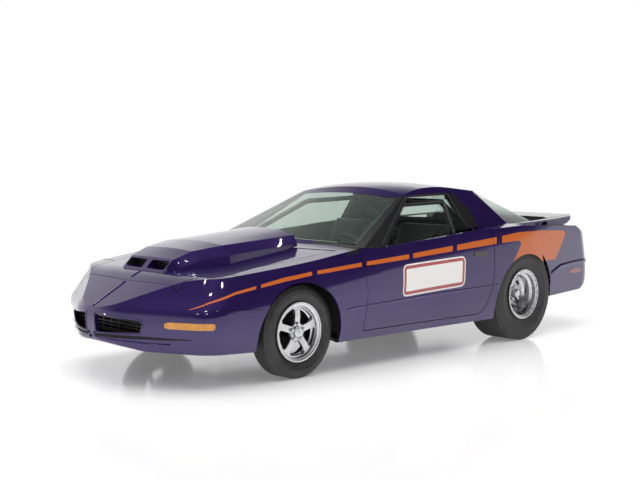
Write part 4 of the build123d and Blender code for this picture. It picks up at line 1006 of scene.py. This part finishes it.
class Workshop:
    """Finishes by name, and helpers that turn meshes into pieces of the car."""

    def __init__(self, frame: dict) -> None:
        """Keep the nodes and build the shared groups.
        """
        self.nodes: dict[str, bpy.types.Object] = frame["nodes"]
        self.effects = Effects()
        self.finishes: dict[str, bpy.types.Material] = {}

    def finish(self, recipe: Finish) -> bpy.types.Material:
        """Build a finish once and return it.

        Args:
            recipe: the finish.

        Returns:
            Its material.
        """
        if recipe.name not in self.finishes:
            self.finishes[recipe.name] = recipe.build(self.effects)
        return self.finishes[recipe.name]

    def dress(self, names: Iterable[str], recipe: Finish) -> None:
        """Give CAD nodes a finish.

        Args:
            names: the nodes.
            recipe: the finish.
        """
        for name in names:
            mesh = self.nodes[name].data
            mesh.materials.clear()
            mesh.materials.append(self.finish(recipe))
            LOG.info("dressed %s with %s", name, recipe.name)

    def tree(self, names: Iterable[str]) -> BVHTree:
        """Join CAD nodes into one tree for finding their skin.

        Args:
            names: the nodes.

        Returns:
            The tree.
        """
        points: list[Vector] = []
        faces: list[tuple[int, ...]] = []
        for name in names:
            mesh = self.nodes[name].data
            start = len(points)
            points.extend(vertex.co.copy() for vertex in mesh.vertices)
            faces.extend(tuple(start + index for index in polygon.vertices) for polygon in mesh.polygons)
        return BVHTree.FromPolygons(points, faces)

    def piece(self, name: str, shape: Shape, body: str, recipe: Finish, slot: str,
              smooth: float = 0.6) -> bpy.types.Object:
        """Turn a bmesh into a piece that rides on a body.

        Args:
            name: the piece's name.
            shape: its mesh, which is freed.
            body: the body that it rides on.
            recipe: its finish.
            slot: not used.
            smooth: angle in radians above which edges stay sharp.

        Returns:
            The piece.
        """
        bmesh.ops.recalc_face_normals(shape, faces=shape.faces)
        mesh = bpy.data.meshes.new(name)
        shape.to_mesh(mesh)
        shape.free()
        mesh.shade_smooth()
        mesh.set_sharp_from_angle(angle=smooth)
        mesh.materials.append(self.finish(recipe))
        made = bpy.data.objects.new(name, mesh)
        bpy.context.scene.collection.objects.link(made)
        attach(made, body)
        LOG.info("built %s on %s", name, body)
        return made


def lathe(shape: Shape, profile: Sequence[Point], centre: Vector, turn: Matrix, steps: int = 96) -> None:
    """Turn a closed or open profile about an axis.

    Args:
        shape: the mesh that gets the ring.
        profile: distance along the axis and radius of each point.
        centre: where the axis starts.
        turn: rotation from +Z to the axis.
        steps: number of steps round.
    """
    rings: list[list[bmesh.types.BMVert]] = []
    for step in range(steps):
        angle = 2 * math.pi * step / steps
        rings.append([
            shape.verts.new(centre + turn @ Vector((out * math.cos(angle), out * math.sin(angle), along)))
            for along, out in profile
        ])
    for step in range(steps):
        here, after = rings[step], rings[(step + 1) % steps]
        for index in range(len(profile) - 1):
            shape.faces.new((here[index], after[index], after[index + 1], here[index + 1]))


def prism(shape: Shape, corners: int, radius: float, length: float, centre: Vector, turn: Matrix,
          taper: float = 0.85, straight: float = 0.75) -> None:
    """Add a nut or bolt head with a chamfered end.

    Args:
        shape: the mesh that gets it.
        corners: number of corners.
        radius: corner radius.
        length: height of the head.
        centre: middle of its seat.
        turn: rotation from +Z to its axis.
        taper: share of the radius left at the outer end.
        straight: share of the length below the chamfer.
    """
    levels = ((0.0, radius), (length * straight, radius), (length, radius * taper))
    rings = [
        [shape.verts.new(centre + turn @ Vector((out * math.cos(angle), out * math.sin(angle), height)))
         for angle in (2 * math.pi * k / corners for k in range(corners))]
        for height, out in levels
    ]
    for low, high in zip(rings, rings[1:]):
        for k in range(corners):
            shape.faces.new((low[k], low[(k + 1) % corners], high[(k + 1) % corners], high[k]))
    shape.faces.new(rings[-1])


def tube(shape: Shape, path: Sequence[Vector], radius: float, sides: int = 10, closed: bool = False) -> None:
    """Sweep a round section along a path.

    Args:
        shape: the mesh that gets the tube.
        path: points along its middle.
        radius: the tube's radius.
        sides: number of sides of the section.
        closed: whether the path is a loop.
    """
    count = len(path)
    rings = []
    # a direction that no path starts along
    normal = Vector((0.31, 0.17, 0.93))
    for index, point in enumerate(path):
        after = path[(index + 1) % count] if closed or index < count - 1 else point
        before = path[index - 1] if closed or index > 0 else point
        along = (after - before).normalized()
        side = along.cross(normal).normalized()
        normal = side.cross(along).normalized()
        rings.append([
            shape.verts.new(point + (side * math.cos(2 * math.pi * k / sides)
                                     + normal * math.sin(2 * math.pi * k / sides)) * radius)
            for k in range(sides)
        ])
    for index in range(count if closed else count - 1):
        here, after = rings[index], rings[(index + 1) % count]
        for k in range(sides):
            shape.faces.new((here[k], here[(k + 1) % sides], after[(k + 1) % sides], after[k]))
    if not closed:
        shape.faces.new(rings[0])
        shape.faces.new(rings[-1])


def spread(points: Sequence[Point], step: float, closed: bool = False) -> list[Point]:
    """Divide a run of straight lines into short steps.

    Args:
        points: corners of the line.
        step: longest step.
        closed: whether the last corner joins the first.

    Returns:
        The points along it.
    """
    corners = list(points) + ([points[0]] if closed else [])
    made: list[Point] = []
    for (x0, z0), (x1, z1) in zip(corners, corners[1:]):
        count = max(1, math.ceil(math.hypot(x1 - x0, z1 - z0) / step))
        made.extend((x0 + (x1 - x0) * k / count, z0 + (z1 - z0) * k / count) for k in range(count))
    if not closed:
        made.append(corners[-1])
    return made


@dataclass(frozen=True)
class Spot:
    """A point on the car's skin with the direction out of it."""

    place: Vector
    out: Vector


def lay(skin: BVHTree, starts: Iterable[Vector], heading: Vector) -> list[Spot]:
    """Drop points onto the skin of the car along one direction.

    Args:
        skin: the skin's tree.
        starts: points outside the car.
        heading: the direction in which they drop.

    Returns:
        The spots that they meet.
    """
    spots = []
    for start in starts:
        hit, normal, _, _ = skin.ray_cast(start, heading)
        if hit is not None and hit.dot(heading) < 0:
            out = normal if normal.dot(heading) < 0 else -normal
            spots.append(Spot(hit, out))
    return spots


def on_side(skin: BVHTree, points: Iterable[Point], side: Side) -> list[Spot]:
    """Lay side-view points, given as x and z, on one side of the car."""
    return lay(skin, (Vector((x, 2.0 * side.value, z)) for x, z in points), Vector((0, -side.value, 0)))


def on_top(skin: BVHTree, points: Iterable[Point]) -> list[Spot]:
    """Lay plan-view points, given as x and y, on the car from above."""
    return lay(skin, (Vector((x, y, 3.0)) for x, y in points), Vector((0, 0, -1)))


def on_front(skin: BVHTree, points: Iterable[Point]) -> list[Spot]:
    """Lay front-view points, given as y and z, on the car from ahead."""
    return lay(skin, (Vector((4.0, y, z)) for y, z in points), Vector((-1, 0, 0)))


def places(spots: Iterable[Spot]) -> list[Vector]:
    """Return the points of some spots."""
    return [spot.place for spot in spots]


@dataclass(frozen=True)
class Strip:
    """Low rounded strip: half widths spread evenly along it, crest height, and step between sections."""

    halves: tuple[float, ...]
    height: float
    step: float = 0.02
    # depth of its edges below the skin
    sunk: float = 0.004


def strake(shape: Shape, spots: Sequence[Spot], strip: Strip) -> None:
    """Add a low rounded strip along spots on the skin.

    Args:
        shape: the mesh that gets the strip.
        spots: its middle line on the skin.
        strip: its measures.
    """
    halves = strip.halves
    low_crest, high_crest = 0.45 * strip.height, 0.9 * strip.height
    section = ((-1.0, -strip.sunk), (-0.85, low_crest), (-0.4, high_crest), (0.0, strip.height),
               (0.4, high_crest), (0.85, low_crest), (1.0, -strip.sunk))
    last = len(spots) - 1
    rings = []
    for index, spot in enumerate(spots):
        along = (spots[min(index + 1, last)].place - spots[max(index - 1, 0)].place).normalized()
        across = along.cross(spot.out).normalized()
        reach = index / last * (len(halves) - 1)
        low = min(int(reach), len(halves) - 2)
        half = halves[low] + (halves[low + 1] - halves[low]) * (reach - low)
        rings.append([shape.verts.new(spot.place + across * half * u + spot.out * v) for u, v in section])
    count = len(section)
    for here, after in zip(rings, rings[1:]):
        for k in range(count):
            shape.faces.new((here[k], here[(k + 1) % count], after[(k + 1) % count], after[k]))
    shape.faces.new(rings[0])
    shape.faces.new(rings[-1])


def slab(shape: Shape, outline: Sequence[Point], inner_y: float, outer_y: float, round_off: float) -> None:
    """Add a rounded block with a side-view outline.

    Args:
        shape: the mesh that gets it.
        outline: x and z of its corners.
        inner_y: one end across the car.
        outer_y: the other end.
        round_off: width of its rounded edges.
    """
    near = [shape.verts.new((x, inner_y, z)) for x, z in outline]
    far = [shape.verts.new((x, outer_y, z)) for x, z in outline]
    faces = [shape.faces.new(near), shape.faces.new(far)]
    for k in range(len(outline)):
        after = (k + 1) % len(outline)
        faces.append(shape.faces.new((near[k], near[after], far[after], far[k])))
    edges = list({edge for face in faces for edge in face.edges})
    bmesh.ops.bevel(shape, geom=edges, offset=round_off, segments=4, profile=0.6, affect="EDGES")


WHITE = (1.0, 1.0, 1.0, 1.0)
BLACK = PlasticFinish("black_trim", (0.012, 0.012, 0.013, 1.0), 0.42, wear=0.15)
RUBBER = PlasticFinish("seal_rubber", (0.014, 0.014, 0.015, 1.0), 0.55, wear=0.2)
SEAM_SHADOW = PlasticFinish("seam_shadow", (0.004, 0.003, 0.008, 1.0), 0.8, wear=0.0)
CABIN_BLACK = PlasticFinish("cabin_black", (0.022, 0.022, 0.024, 1.0), 0.6, grain=500.0, wear=0.3)
FRAME_BLACK = PlasticFinish("frame_satin_black", (0.020, 0.020, 0.022, 1.0), 0.35, wear=0.35)
PRIMER = PlasticFinish("chassis_satin", (0.045, 0.045, 0.050, 1.0), 0.5, wear=0.4)
CAST_IRON = MetalFinish("cast_iron", (0.16, 0.16, 0.165, 1.0), 0.55, wear=0.6, depth=0.0002)
CAST_ALUMINIUM = MetalFinish("cast_aluminium", (0.50, 0.50, 0.51, 1.0), 0.42, wear=0.5, depth=0.00015)
PIPE = MetalFinish("exhaust_pipe", (0.42, 0.39, 0.36, 1.0), 0.38, wear=0.6)
STEEL = MetalFinish("plated_steel", (0.62, 0.62, 0.64, 1.0), 0.2, wear=0.2)
PAINT = PaintFinish("violet_paint")
STRIPED = PaintFinish("violet_paint_striped", stripes=True, window_frame=True)
FRAMED = PaintFinish("violet_paint_framed", window_frame=True)
DOOR_PAINT = PaintFinish("violet_paint_door", stripes=True, sign=SignPlan())
GLASS = GlassFinish("tinted_glass", (0.58, 0.68, 0.63, 1.0))
SIDE_GLASS = GlassFinish("clear_side_window", (0.80, 0.84, 0.82, 1.0), bend=1.10)
AMBER = LensFinish("amber_lens", (0.80, 0.33, 0.012, 1.0), (0.32, 0.090, 0.006, 1.0),
                   centre=(2.1635, 0.4265), half=(0.1015, 0.0225), corner=0.020)
RED_LENS = LensFinish("red_lens", (0.22, 0.010, 0.012, 1.0), (0.07, 0.003, 0.004, 1.0), upright=True)
SIDE_RED = LensFinish("red_side_lens", (0.26, 0.014, 0.014, 1.0), (0.10, 0.004, 0.005, 1.0))
CUSHION = PlasticFinish("seat_cloth", (0.020, 0.020, 0.023, 1.0), 0.9, grain=1400.0, depth=0.0003, wear=0.35)
SEAT_SHELL = PlasticFinish("seat_shell", (0.018, 0.018, 0.020, 1.0), 0.38, wear=0.25)


@dataclass
class BodyPanels:
    """Outer panels, lamps and glass that come from the CAD, with the seams, creases and ridges on them.

    Side lines are given as x and z, front lines as y and z, and top lines as x and y.
    """

    shop: Workshop
    seam_radius: float = 0.0017
    seam_sides: int = 6
    seam_step: float = 0.02
    fascia_seam: tuple[Point, ...] = ((1.873, 0.765), (2.119, 0.595), (2.044, 0.523), (1.700, 0.519))
    tail_seam: tuple[Point, ...] = ((-1.600, 0.420), (-1.636, 0.560), (-1.800, 0.606), (-2.148, 0.622))
    cover_seam: tuple[Point, ...] = ((1.845, 0.640), (1.844, 0.779), (1.761, 0.809))
    creases: tuple[tuple[str, tuple[Point, ...]], ...] = (
        ("fender", ((0.940, 0.451), (0.762, 0.461))),
        ("door", ((0.738, 0.462), (-0.762, 0.500))),
        ("quarter", ((-0.790, 0.501), (-0.868, 0.503))),
    )
    crease_strip: Strip = Strip((0.006, 0.010, 0.010, 0.006), 0.0045, 0.03)
    bumper_edge: tuple[Point, ...] = ((-1.640, 0.545), (-1.800, 0.590), (-2.000, 0.600), (-2.300, 0.606))
    bumper_strip: Strip = Strip((0.006, 0.018, 0.022, 0.022), 0.012, 0.03)
    marker: tuple[Point, ...] = ((-1.960, 0.528), (-2.218, 0.528))
    marker_strip: Strip = Strip((0.008, 0.021, 0.024, 0.024, 0.021, 0.008), 0.004, 0.012)
    nostril: tuple[Point, ...] = (
        (0.050, 0.345), (0.050, 0.482), (0.384, 0.454), (0.411, 0.431), (0.388, 0.361),
    )
    nostril_radius: float = 0.0045
    nostril_sides: int = 8
    nostril_step: float = 0.012
    groove: tuple[Point, ...] = (
        (0.02, 0.345), (0.063, 0.334), (0.265, 0.333), (0.551, 0.334), (0.700, 0.336),
    )
    groove_strip: Strip = Strip((0.012, 0.014, 0.013, 0.010, 0.003), 0.0012)
    lip: tuple[Point, ...] = ((0.02, 0.316), (0.077, 0.306), (0.254, 0.298), (0.420, 0.292), (0.560, 0.300))
    lip_strip: Strip = Strip((0.014, 0.015, 0.014, 0.010, 0.003), 0.010)
    nose_ridge: tuple[Point, ...] = ((2.462, 0.0), (2.170, 0.0))
    hood_ridge: tuple[Point, ...] = ((2.138, 0.0), (2.060, 0.0))
    ridge_strip: Strip = Strip((0.010, 0.014, 0.014), 0.006)
    striped: tuple[str, ...] = (
        "front_fascia", "fender_left", "fender_right", "quarter_left", "quarter_right",
    )
    plain: tuple[str, ...] = (
        "hood", "hood_scoop", "cowl", "hatch", "wing_centre", "wing_ends", "rear_fascia",
    )
    doors: tuple[str, ...] = ("door_left", "door_right")

    def build(self) -> None:
        """Dress the panels and add their seams, ridges and lamps."""
        self.shop.dress(self.striped, STRIPED)
        self.shop.dress(("roof",), FRAMED)
        self.shop.dress(self.plain, PAINT)
        self.shop.dress(self.doors, DOOR_PAINT)
        self.shop.dress(("windscreen", "hatch_glass"), GLASS)
        self.shop.dress(("door_glass_left", "door_glass_right"), SIDE_GLASS)
        self.shop.dress(("marker_lamps",), AMBER)
        self.shop.dress(("tail_lamps",), RED_LENS)
        self.shop.dress(("nostril_grille", "scoop_screens"), BLACK)
        skin = self.shop.tree((*self.striped, "rear_fascia", *self.doors))
        for side in Side:
            self._sides(skin, side)
            self._nose(skin, side)
        self._strip("nose_ridge", "chassis", self._ridge("front_fascia", self.nose_ridge), self.ridge_strip)
        self._strip("hood_ridge", "hood", self._ridge("hood", self.hood_ridge), self.ridge_strip)

    def _seam(self, name: str, spots: Sequence[Spot]) -> None:
        """Add a dark seam between two fixed panels.

        Args:
            name: the piece's name.
            spots: the seam's line on the skin.
        """
        shape = bmesh.new()
        tube(shape, places(spots), self.seam_radius, self.seam_sides)
        self.shop.piece(name, shape, "chassis", SEAM_SHADOW, "black_plastic")

    def _strip(self, name: str, body: str, spots: Sequence[Spot], strip: Strip, recipe: Finish = PAINT,
               slot: str = "paint") -> None:
        """Add a strip on the skin.

        Args:
            name: the piece's name.
            body: the body that it rides on.
            spots: its line on the skin.
            strip: its measures.
            recipe: its finish.
            slot: the record's material slot.
        """
        shape = bmesh.new()
        strake(shape, spots, strip)
        self.shop.piece(name, shape, body, recipe, slot)

    def _sides(self, skin: BVHTree, side: Side) -> None:
        """Add one side's seams, creases and rear lamp.

        Args:
            skin: the tree of the side panels.
            side: the side.
        """
        word = side.name.lower()
        for label, line in (("fascia_seam", self.fascia_seam), ("tail_seam", self.tail_seam)):
            self._seam(f"{label}_{word}", on_side(skin, spread(line, self.seam_step), side))
        for label, line in self.creases:
            body = f"{word}_door" if label == "door" else "chassis"
            spots = on_side(skin, spread(line, self.crease_strip.step), side)
            self._strip(f"{label}_crease_{word}", body, spots, self.crease_strip)
        spots = on_side(skin, spread(self.bumper_edge, self.bumper_strip.step), side)
        self._strip(f"bumper_edge_{word}", "chassis", spots, self.bumper_strip)
        spots = on_side(skin, spread(self.marker, self.marker_strip.step), side)
        self._strip(f"rear_marker_{word}", "chassis", spots, self.marker_strip, SIDE_RED, "red_lens")

    def _nose(self, skin: BVHTree, side: Side) -> None:
        """Add one half's nostril rim, chin groove, lip and lamp-cover seam.

        Args:
            skin: the tree of the side panels.
            side: the side.
        """
        word = side.name.lower()
        nostril, groove, lip = (
            [(y * side.value, z) for y, z in line] for line in (self.nostril, self.groove, self.lip)
        )
        shape = bmesh.new()
        rim = places(on_front(skin, spread(nostril, self.nostril_step, closed=True)))
        tube(shape, rim, self.nostril_radius, self.nostril_sides, closed=True)
        self.shop.piece(f"nostril_rim_{word}", shape, "chassis", PAINT, "paint")
        spots = on_front(skin, spread(groove, self.groove_strip.step))
        self._strip(f"chin_groove_{word}", "chassis", spots, self.groove_strip, SEAM_SHADOW, "black_plastic")
        spots = on_front(skin, spread(lip, self.lip_strip.step))
        self._strip(f"chin_lip_{word}", "chassis", spots, self.lip_strip)
        cover = [(x, y * side.value) for x, y in self.cover_seam]
        self._seam(f"lamp_cover_seam_{word}", on_top(skin, spread(cover, self.seam_step)))

    def _ridge(self, node: str, line: Sequence[Point]) -> list[Spot]:
        """Return the spots of the ridge up the middle of the nose on one CAD node."""
        return on_top(self.shop.tree((node,)), spread(line, self.ridge_strip.step))


@dataclass
class WindowTrim:
    """Black seals along the front, upper and rear edges of the side windows."""

    shop: Workshop
    line: tuple[Point, ...] = ((0.502, 0.864), (-0.046, 1.220), (-0.632, 1.230), (-0.652, 0.962))
    step: float = 0.025
    seal_radius: float = 0.0075
    seal_sides: int = 8

    def build(self) -> None:
        """Lay the seals on the car's skin."""
        skin = self.shop.tree(("roof", "quarter_left", "quarter_right"))
        for side in Side:
            shape = bmesh.new()
            path = places(on_side(skin, spread(self.line, self.step), side))
            tube(shape, path, self.seal_radius, self.seal_sides)
            self.shop.piece(f"window_seal_{side.name.lower()}", shape, "chassis", RUBBER, "black_plastic")


@dataclass
class Wheel:
    """Lug nuts, centre cap and rim bolts of one wheel."""

    shop: Workshop
    body: str
    side: Side
    axle: Point
    face_y: float
    cap_radius: float
    cap_height: float
    # shares of the cap's height and radius
    cap_profile: tuple[Point, ...] = ((0.0, 1.0), (0.7, 1.0), (0.92, 0.92), (1.0, 0.7), (0.97, 0.45))
    cap_pinhole: float = 0.0005
    cap_steps: int = 48
    lugs: int = 5
    lug_circle: float = 0.057
    lug_radius: float = 0.0125
    lug_length: float = 0.026
    bolts: int = 0
    bolt_circle: float = 0.0
    bolt_y: float = 0.0
    bolt_radius: float = 0.0055
    bolt_height: float = 0.004

    def build(self) -> None:
        """Build the fittings on the wheel's face."""
        turn = Matrix.Rotation(-math.pi / 2 * self.side.value, 3, "X")
        cap = bmesh.new()
        profile = [(self.cap_height * up, self.cap_radius * out) for up, out in self.cap_profile]
        profile.append((profile[-1][0], self.cap_pinhole))
        lathe(cap, profile, self._on_axle(self.face_y), turn, self.cap_steps)
        self.shop.piece(f"{self.body}_cap", cap, self.body, STEEL, "wheel_aluminium")
        nuts = bmesh.new()
        for seat in self._ring(self.lugs, self.lug_circle, self.face_y, math.pi / 2):
            prism(nuts, 6, self.lug_radius, self.lug_length, seat, turn)
        for seat in self._ring(self.bolts, self.bolt_circle, self.bolt_y, 0.0):
            prism(nuts, 6, self.bolt_radius, self.bolt_height, seat, turn)
        self.shop.piece(f"{self.body}_nuts", nuts, self.body, STEEL, "wheel_aluminium", 0.4)

    def _on_axle(self, y: float) -> Vector:
        """Return the point of the wheel's axis at a distance from the middle of the car."""
        return Vector((self.axle[0], y * self.side.value, self.axle[1]))

    def _ring(self, count: int, circle: float, y: float, start: float) -> list[Vector]:
        """Return seats spread evenly on a circle round the wheel's axis, from a first angle in radians."""
        angles = [2 * math.pi * k / count + start for k in range(count)]
        return [self._on_axle(y) + Vector((circle * math.cos(a), 0.0, circle * math.sin(a))) for a in angles]


@dataclass
class RunningGear:
    """Wheels, tyres, brakes, suspension and drive line."""

    shop: Workshop
    front_axle: Point = (1.335, 0.322)
    rear_axle: Point = (-1.233, 0.388)
    front_face: float = 0.806
    rear_face: float = 0.772
    polished: Colour = (0.66, 0.66, 0.67, 1.0)
    dark: tuple[str, ...] = ("knuckle_left", "knuckle_right", "front_frame", "rear_axle", "rear_suspension")

    def build(self) -> None:
        """Dress the running gear and build the wheels' fittings."""
        front_metal = MetalFinish("polished_front_wheel", self.polished, 0.32, 0.25, axle=self.front_axle,
                                  dull_inside=0.782)
        rear_metal = MetalFinish("polished_rear_wheel", self.polished, 0.26, 0.25, axle=self.rear_axle,
                                 dull_inside=0.738)
        front_tyre = TyreFinish("front_tyre", self.front_axle, radius=self.front_axle[1])
        rear_tyre = TyreFinish("rear_slick", self.rear_axle, radius=self.rear_axle[1])
        self.shop.dress(("front_wheel_left", "front_wheel_right"), front_metal)
        self.shop.dress(("rear_wheel_left", "rear_wheel_right"), rear_metal)
        self.shop.dress(("front_tyre_left", "front_tyre_right"), front_tyre)
        self.shop.dress(("rear_tyre_left", "rear_tyre_right"), rear_tyre)
        self.shop.dress(self.dark, FRAME_BLACK)
        self.shop.dress(("engine",), CAST_IRON)
        self.shop.dress(("gearbox", "fuel_cell"), CAST_ALUMINIUM)
        self.shop.dress(("exhaust",), PIPE)
        for side in Side:
            name = side.name.lower()
            Wheel(self.shop, f"front_{name}_wheel", side, self.front_axle, self.front_face,
                  cap_radius=0.032, cap_height=0.03).build()
            Wheel(self.shop, f"rear_{name}_wheel", side, self.rear_axle, self.rear_face,
                  cap_radius=0.038, cap_height=0.05, bolts=24, bolt_circle=0.198, bolt_y=0.882).build()


@dataclass
class Cabin:
    """Floor, dash, seats, steering wheel and roll cage seen through the glass."""

    shop: Workshop
    seat_y: float = 0.380
    pad_half: float = 0.168
    pad_round: float = 0.014
    pads: tuple[tuple[str, tuple[Point, ...]], ...] = (
        ("seat_base_pad",
         ((0.130, 0.398), (-0.290, 0.372), (-0.290, 0.428), (-0.100, 0.430), (0.110, 0.462))),
        ("seat_back_pad",
         ((-0.300, 0.420), (-0.478, 0.965), (-0.432, 0.975), (-0.330, 0.720), (-0.262, 0.440))),
    )
    dull: tuple[str, ...] = (
        "floor_pan", "firewall", "hinge_pillars", "core_support", "rear_floor", "wheel_tubs",
    )

    def build(self) -> None:
        """Dress the cabin and pad its seats."""
        self.shop.dress(self.dull, PRIMER)
        self.shop.dress(("dash",), CABIN_BLACK)
        self.shop.dress(("race_seats",), SEAT_SHELL)
        self.shop.dress(("steering_wheel",), CABIN_BLACK)
        self.shop.dress(("roll_cage",), FRAME_BLACK)
        for side in Side:
            middle = self.seat_y * side.value
            for label, outline in self.pads:
                shape = bmesh.new()
                slab(shape, outline, middle - self.pad_half, middle + self.pad_half, self.pad_round)
                name = f"{label}_{side.name.lower()}"
                pad = self.shop.piece(name, shape, "chassis", CUSHION, "seat_plastic", 1.0)


@dataclass
class Studio:
    """Pale floor, soft lamps, white surroundings and the camera at the photograph's place."""

    effects: Effects
    camera_place: Place = (6.672, 6.453, 1.531)
    yaw: float = math.radians(-134.557)
    pitch: float = math.radians(-4.2165)
    roll: float = math.radians(0.516)
    lens: float = 63.86
    sensor: float = 36.0
    surroundings_seen: float = 1.0
    surroundings_light: float = 0.55
    floor_half: float = 40.0
    floor_colour: Colour = (0.90, 0.90, 0.90, 1.0)
    floor_glow: float = 0.16
    floor_roughness: float = 0.06
    haze_scale: float = 1.3
    haze: float = 0.12
    near: float = 3.2
    far: float = 6.5
    overhead_place: Place = (0.5, 0.5, 5.5)
    overhead_size: Point = (7.0, 5.0)
    overhead_power: float = 260.0
    aim: Place = (0.0, 0.0, 0.5)
    flag_place: Place = (-4.0, 14.0, 6.0)
    flag_half: float = 38.0
    flag_spread: Point = (27.0, 24.0)
    flag_dark: float = 0.72
    flag_pale: float = 1.10
    flag_colour: Colour = (0.012, 0.012, 0.014, 1.0)
    glint_size: Point = (0.34, 0.10)
    glint_power: float = 5.0
    glints: tuple[Place, ...] = (
        (2.6, 1.6, 3.6), (1.6, 2.4, 3.8), (0.6, 3.0, 4.0), (-0.6, 3.2, 4.0), (3.4, 0.4, 3.6),
        (3.0, -1.2, 3.8), (1.2, -0.6, 3.8), (2.0, 0.2, 3.7), (0.2, 1.2, 3.9), (3.9, 1.9, 3.7),
        (4.4, -0.6, 3.9), (2.2, -2.6, 3.9), (0.6, -2.0, 4.0), (4.8, 3.2, 3.9), (-1.6, 1.8, 4.0),
        (3.0, 3.8, 4.0), (5.4, 1.2, 4.0), (-0.4, -1.4, 4.0),
    )

    def build(self) -> None:
        """Set the whole studio."""
        self._camera()
        self._world()
        self._floor()
        self._flag()
        self._lamps()
        bpy.context.scene.view_settings.view_transform = "Standard"

    def _camera(self) -> None:
        """Place the camera."""
        flat = math.cos(self.pitch)
        ahead = Vector((flat * math.cos(self.yaw), flat * math.sin(self.yaw), math.sin(self.pitch)))
        level = ahead.cross(Vector((0, 0, 1))).normalized()
        upright = level.cross(ahead)
        right = level * math.cos(self.roll) + upright * math.sin(self.roll)
        up = upright * math.cos(self.roll) - level * math.sin(self.roll)
        data = bpy.data.cameras.new("camera")
        data.lens = self.lens
        data.sensor_width = self.sensor
        data.sensor_fit = "HORIZONTAL"
        made = bpy.data.objects.new("camera", data)
        bpy.context.scene.collection.objects.link(made)
        turn = Matrix((right, up, -ahead)).transposed()
        made.matrix_world = Matrix.Translation(self.camera_place) @ turn.to_4x4()
        bpy.context.scene.camera = made

    def _world(self) -> None:
        """Light the surroundings white where they are seen, and softer where they light."""
        world = bpy.data.worlds.new("studio")
        bpy.context.scene.world = world
        world.use_nodes = True
        graph = Graph(world.node_tree)
        path = graph.node("LightPath")
        seen = graph.plus(path.outputs["Is Camera Ray"], path.outputs["Is Glossy Ray"])
        seen = graph.math("ADD", seen, path.outputs["Is Transmission Ray"], clamp=True)
        strength = graph.line(seen, self.surroundings_seen - self.surroundings_light, self.surroundings_light)
        graph.feed(world.node_tree.nodes["Background"], Color=WHITE, Strength=strength)

    @staticmethod
    def _sheet(name: str, half: float) -> bpy.types.Object:
        """Make a level square sheet.

        Args:
            name: its name.
            half: half the length of its edge.

        Returns:
            The sheet.
        """
        shape = bmesh.new()
        bmesh.ops.create_grid(shape, x_segments=1, y_segments=1, size=half)
        mesh = bpy.data.meshes.new(name)
        shape.to_mesh(mesh)
        shape.free()
        made = bpy.data.objects.new(name, mesh)
        bpy.context.scene.collection.objects.link(made)
        return made

    def _floor(self) -> None:
        """Lay the floor, which fades to white away from the car."""
        made = self._sheet("floor", self.floor_half)
        made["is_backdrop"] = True
        material, graph, shader = new_material("studio_floor")
        made.data.materials.append(material)
        away = use_group(graph, self.effects.away, Start=self.near, End=self.far)
        rough = graph.line(graph.noise(self.haze_scale, 3.0), self.haze, self.floor_roughness)
        graph.feed(shader, Base_Color=self.floor_colour, Roughness=rough, Emission_Color=WHITE,
                   Emission_Strength=self.floor_glow)
        glow = graph.node("Emission")
        graph.feed(glow, Color=WHITE, Strength=1.0)
        blend = graph.node("MixShader")
        for slot, source in zip(blend.inputs, (away.outputs["Mask"], shader.outputs[0], glow.outputs[0])):
            graph.fill(slot, source)
        graph.fill(material.node_tree.nodes["Material Output"].inputs["Surface"], blend.outputs[0])

    def _flag(self) -> None:
        """Hang a dark panel overhead, white towards its edges, that only reflections show."""
        made = self._sheet("flag", self.flag_half)
        made.location = self.flag_place
        made.visible_camera = False
        made.visible_diffuse = False
        made.visible_shadow = False
        made.visible_transmission = False
        made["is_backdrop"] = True
        material, graph, shader = new_material("flag_felt")
        made.data.materials.append(material)
        pale = use_group(graph, self.effects.away, Half_X=self.flag_spread[0], Half_Y=self.flag_spread[1],
                         Start=self.flag_dark, End=self.flag_pale)
        glow = graph.mix(pale.outputs["Mask"], self.flag_colour, WHITE)
        graph.feed(shader, Base_Color=(0.0, 0.0, 0.0, 1.0), Roughness=1.0, Specular_IOR_Level=0.0,
                   Emission_Color=glow, Emission_Strength=1.0)

    def _lamp(self, name: str, place: Place, size: Point, power: float) -> bpy.types.Object:
        """Hang an area lamp that points at the car.

        Args:
            name: the lamp's name.
            place: where it hangs.
            size: its width and height.
            power: its power in watts.

        Returns:
            The lamp.
        """
        data = bpy.data.lights.new(name, "AREA")
        data.shape = "RECTANGLE"
        data.size, data.size_y = size
        data.energy = power
        made = bpy.data.objects.new(name, data)
        bpy.context.scene.collection.objects.link(made)
        made.location = place
        made.rotation_mode = "QUATERNION"
        made.rotation_quaternion = (Vector(self.aim) - Vector(place)).to_track_quat("-Z", "Y")
        return made

    def _lamps(self) -> None:
        """Hang the soft overhead lamp and the small lamps that glint in the lacquer."""
        overhead = self._lamp("overhead", self.overhead_place, self.overhead_size, self.overhead_power)
        overhead.visible_glossy = False
        for index, place in enumerate(self.glints):
            glint = self._lamp(f"glint_{index}", place, self.glint_size, self.glint_power)
            glint.visible_transmission = False


def main() -> tuple[list[float], list[float]]:
    """Build the car's looks and the studio.

    Returns:
        The lowest and highest corner of the CAD model.
    """
    logging.basicConfig(level=logging.INFO, format="%(message)s")
    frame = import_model()
    low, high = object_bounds()
    shop = Workshop(frame)
    for part in (BodyPanels(shop), WindowTrim(shop), RunningGear(shop), Cabin(shop)):
        part.build()
    Studio(shop.effects).build()
    return list(low), list(high)


if __name__ == "__main__":
    CAD_LOW, CAD_HIGH = main()
